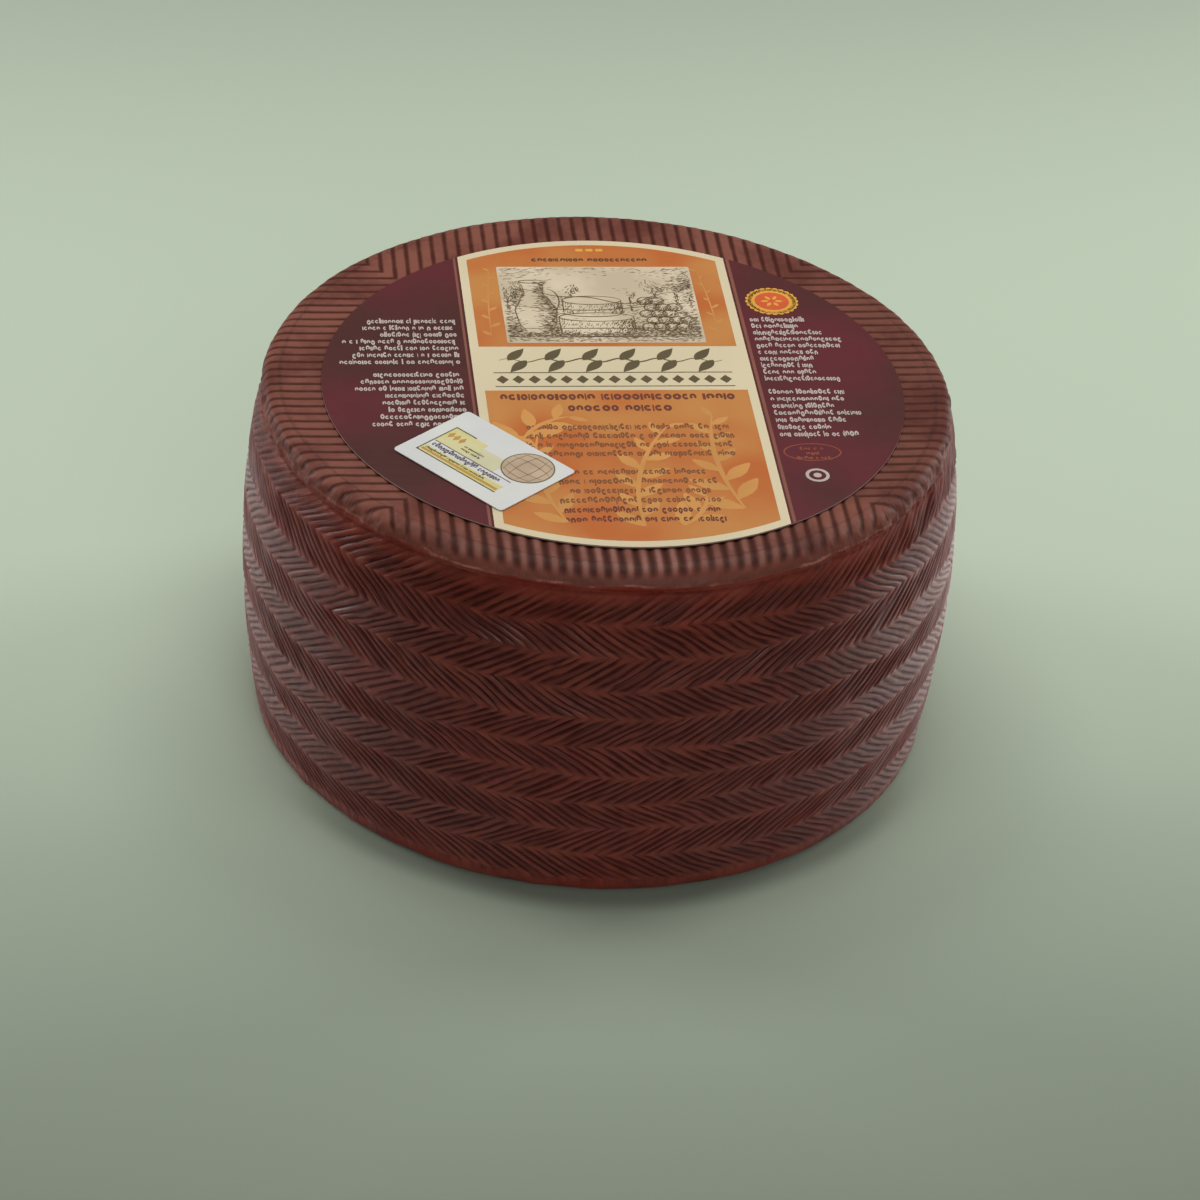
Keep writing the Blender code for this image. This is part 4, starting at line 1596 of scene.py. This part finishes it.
def camera_matrix():
    """The camera's place and turn about the middle of the wheel."""
    rise, turn = CAMERA_RISE, CAMERA_TURN
    back = Vector((math.sin(turn) * math.cos(rise), -math.cos(turn) * math.cos(rise),
                   math.sin(rise)))
    right = Vector((0.0, 0.0, 1.0)).cross(back).normalized()
    up = back.cross(right)
    rolled_right = right * math.cos(CAMERA_ROLL) + up * math.sin(CAMERA_ROLL)
    rolled_up = up * math.cos(CAMERA_ROLL) - right * math.sin(CAMERA_ROLL)
    matrix = Matrix((rolled_right, rolled_up, back)).transposed().to_4x4()
    matrix.translation = Vector((0.0, 0.0, 0.5 * HEIGHT)) + back * CAMERA_DISTANCE
    return matrix


def floor_material(settings):
    """A sage floor with painted shade in front and behind and a painted contact shadow by the
    wheel; it throws a plainer light, and glossy rays see a painted reflection card.
    """
    material, graph, inputs, position = shader_material("sage_floor", 0.0, 0.3, 0.2)
    across, along, _ = graph.split(position)
    depth = along + across ** 2.0 * -0.1
    # A painted contact shadow round the wheel's foot, a painted brighter ring just beyond it and a
    # little painted shade farther out; all only in front of the wheel.
    out = graph.vector("LENGTH", position, output="Value")
    near = out.step(0.098, 0.106, 0.42, 1.12)
    beyond = out.step(0.108, 0.135, 1.0, 0.82)
    farther = out.step(0.14, 0.26, 1.0, 1.0 / (1.12 * 0.82))
    painted_contact_shadow = (near * beyond * farther) ** along.step(-0.085, -0.04, 1.0, 0.0)
    # Painted shade: the floor darkens towards the front and towards the back.
    shade = depth.step(-0.38, 0.08) * depth.step(0.2, 0.7, 1.0, 0.54) * painted_contact_shadow
    sage = graph.blend(shade, rgba(settings.floor_colour, settings.front_share),
                       rgba(settings.floor_colour))
    # Other rays see a plain bounce colour; glossy rays see a painted reflection card, brighter
    # towards the right and dimmer in front, that paints the sheen on the wheel's sides.
    rays = graph.out("ShaderNodeLightPath").socket.node.outputs
    to_right = across.step(-0.25, 0.3, settings.card_left, settings.card_right)
    beside = along.step(-0.19, -0.02, settings.card_front, 1.0)
    card = graph.scaled(settings.bounce_colour, to_right * beside)
    thrown = graph.blend(Value(graph, rays["Is Glossy Ray"]), rgba(settings.bounce_colour), card)
    graph.feed(inputs["Base Color"],
               graph.blend(Value(graph, rays["Is Camera Ray"]), thrown, sage))
    inputs["Roughness"].default_value = 0.8
    return material


class CHEESE_OT_stage(bpy.types.Operator):
    """Set the pale floor, the soft studio lights and the camera"""

    bl_idname = "cheese.stage"
    bl_label = "Stage"

    def execute(self, context):
        scene = context.scene
        settings = scene.cheese_stage
        floor = slab("studio_floor", disc_outline(0.0, 0.0, 2.4, 96), -5.0 * MM, 0.0,
                     floor_material(settings))

        key, side, fill = settings.key_power, settings.side_power, settings.fill_power
        # Name, place, aim, size, power and colour.
        for light in (
                ("soft_top", (0.0, 0.20, 0.97), (0.0, 0.06, 0.0), (0.75, 0.55), key,
                 (1.0, 0.99, 0.96)),
                ("soft_left", (-0.95, 0.55, 0.34), (0.0, 0.0, 0.05), (0.35, 0.6), side,
                 (1.0, 0.97, 0.97)),
                ("soft_right", (0.93, 0.46, 0.36), (0.0, 0.0, 0.05), (0.35, 0.6), side * 0.95,
                 (1.0, 0.98, 0.97)),
                ("soft_fill", (0.1, -1.3, 0.9), (0.0, 0.0, 0.04), (0.8, 0.8), fill,
                 (1.0, 0.98, 0.95))):
            area_light(*light)

        world = bpy.data.worlds.new("studio_air")
        world.use_nodes = True
        background = world.node_tree.nodes["Background"]
        background.inputs["Color"].default_value = (1.0, 0.98, 0.96, 1.0)
        background.inputs["Strength"].default_value = 0.16
        scene.world = world
        scene.view_settings.view_transform = "Standard"

        data = bpy.data.cameras.new("product_camera")
        data.lens = CAMERA_LENS
        data.sensor_width = 36.0
        data.shift_x, data.shift_y = CAMERA_SHIFT
        camera = bpy.data.objects.new("product_camera", data)
        camera.matrix_world = camera_matrix()
        scene.collection.objects.link(camera)
        scene.camera = camera
        return {"FINISHED"}


class CHEESE_PT_panel(bpy.types.Panel):
    """Lists the pieces of the cheese in the 3D view's sidebar"""

    bl_idname = "CHEESE_PT_panel"
    bl_label = "Cheese wheel"
    bl_space_type = "VIEW_3D"
    bl_region_type = "UI"
    bl_category = "Cheese"

    def draw(self, context):
        column = self.layout.column()
        for operator in OPERATORS:
            column.operator(operator.bl_idname)
        for name in SETTINGS:
            group = getattr(context.scene, name)
            for item in group.__annotations__:
                column.prop(group, item)


OPERATORS = (CHEESE_OT_wheel, CHEESE_OT_label, CHEESE_OT_ornament, CHEESE_OT_engraving,
             CHEESE_OT_small_print, CHEESE_OT_marks, CHEESE_OT_sticker, CHEESE_OT_stage)
SETTINGS = {"cheese_rind": RindSettings, "cheese_label": LabelSettings,
            "cheese_stage": StageSettings}
CLASSES = (*SETTINGS.values(), *OPERATORS, CHEESE_PT_panel)


def register():
    """Register the settings, the operators and the panel."""
    for item in CLASSES:
        bpy.utils.register_class(item)
    for name, group in SETTINGS.items():
        setattr(bpy.types.Scene, name, bpy.props.PointerProperty(type=group))


def unregister():
    """Take the settings, the operators and the panel away again."""
    for name in SETTINGS:
        delattr(bpy.types.Scene, name)
    for item in reversed(CLASSES):
        bpy.utils.unregister_class(item)


def main():
    """Build every piece in order."""
    register()
    bpy.ops.cheese.stage()
    bpy.ops.cheese.wheel()
    bpy.ops.cheese.label()
    bpy.ops.cheese.ornament()
    bpy.ops.cheese.engraving()
    bpy.ops.cheese.small_print()
    bpy.ops.cheese.marks()
    bpy.ops.cheese.sticker()


if __name__ == "__main__":
    main()
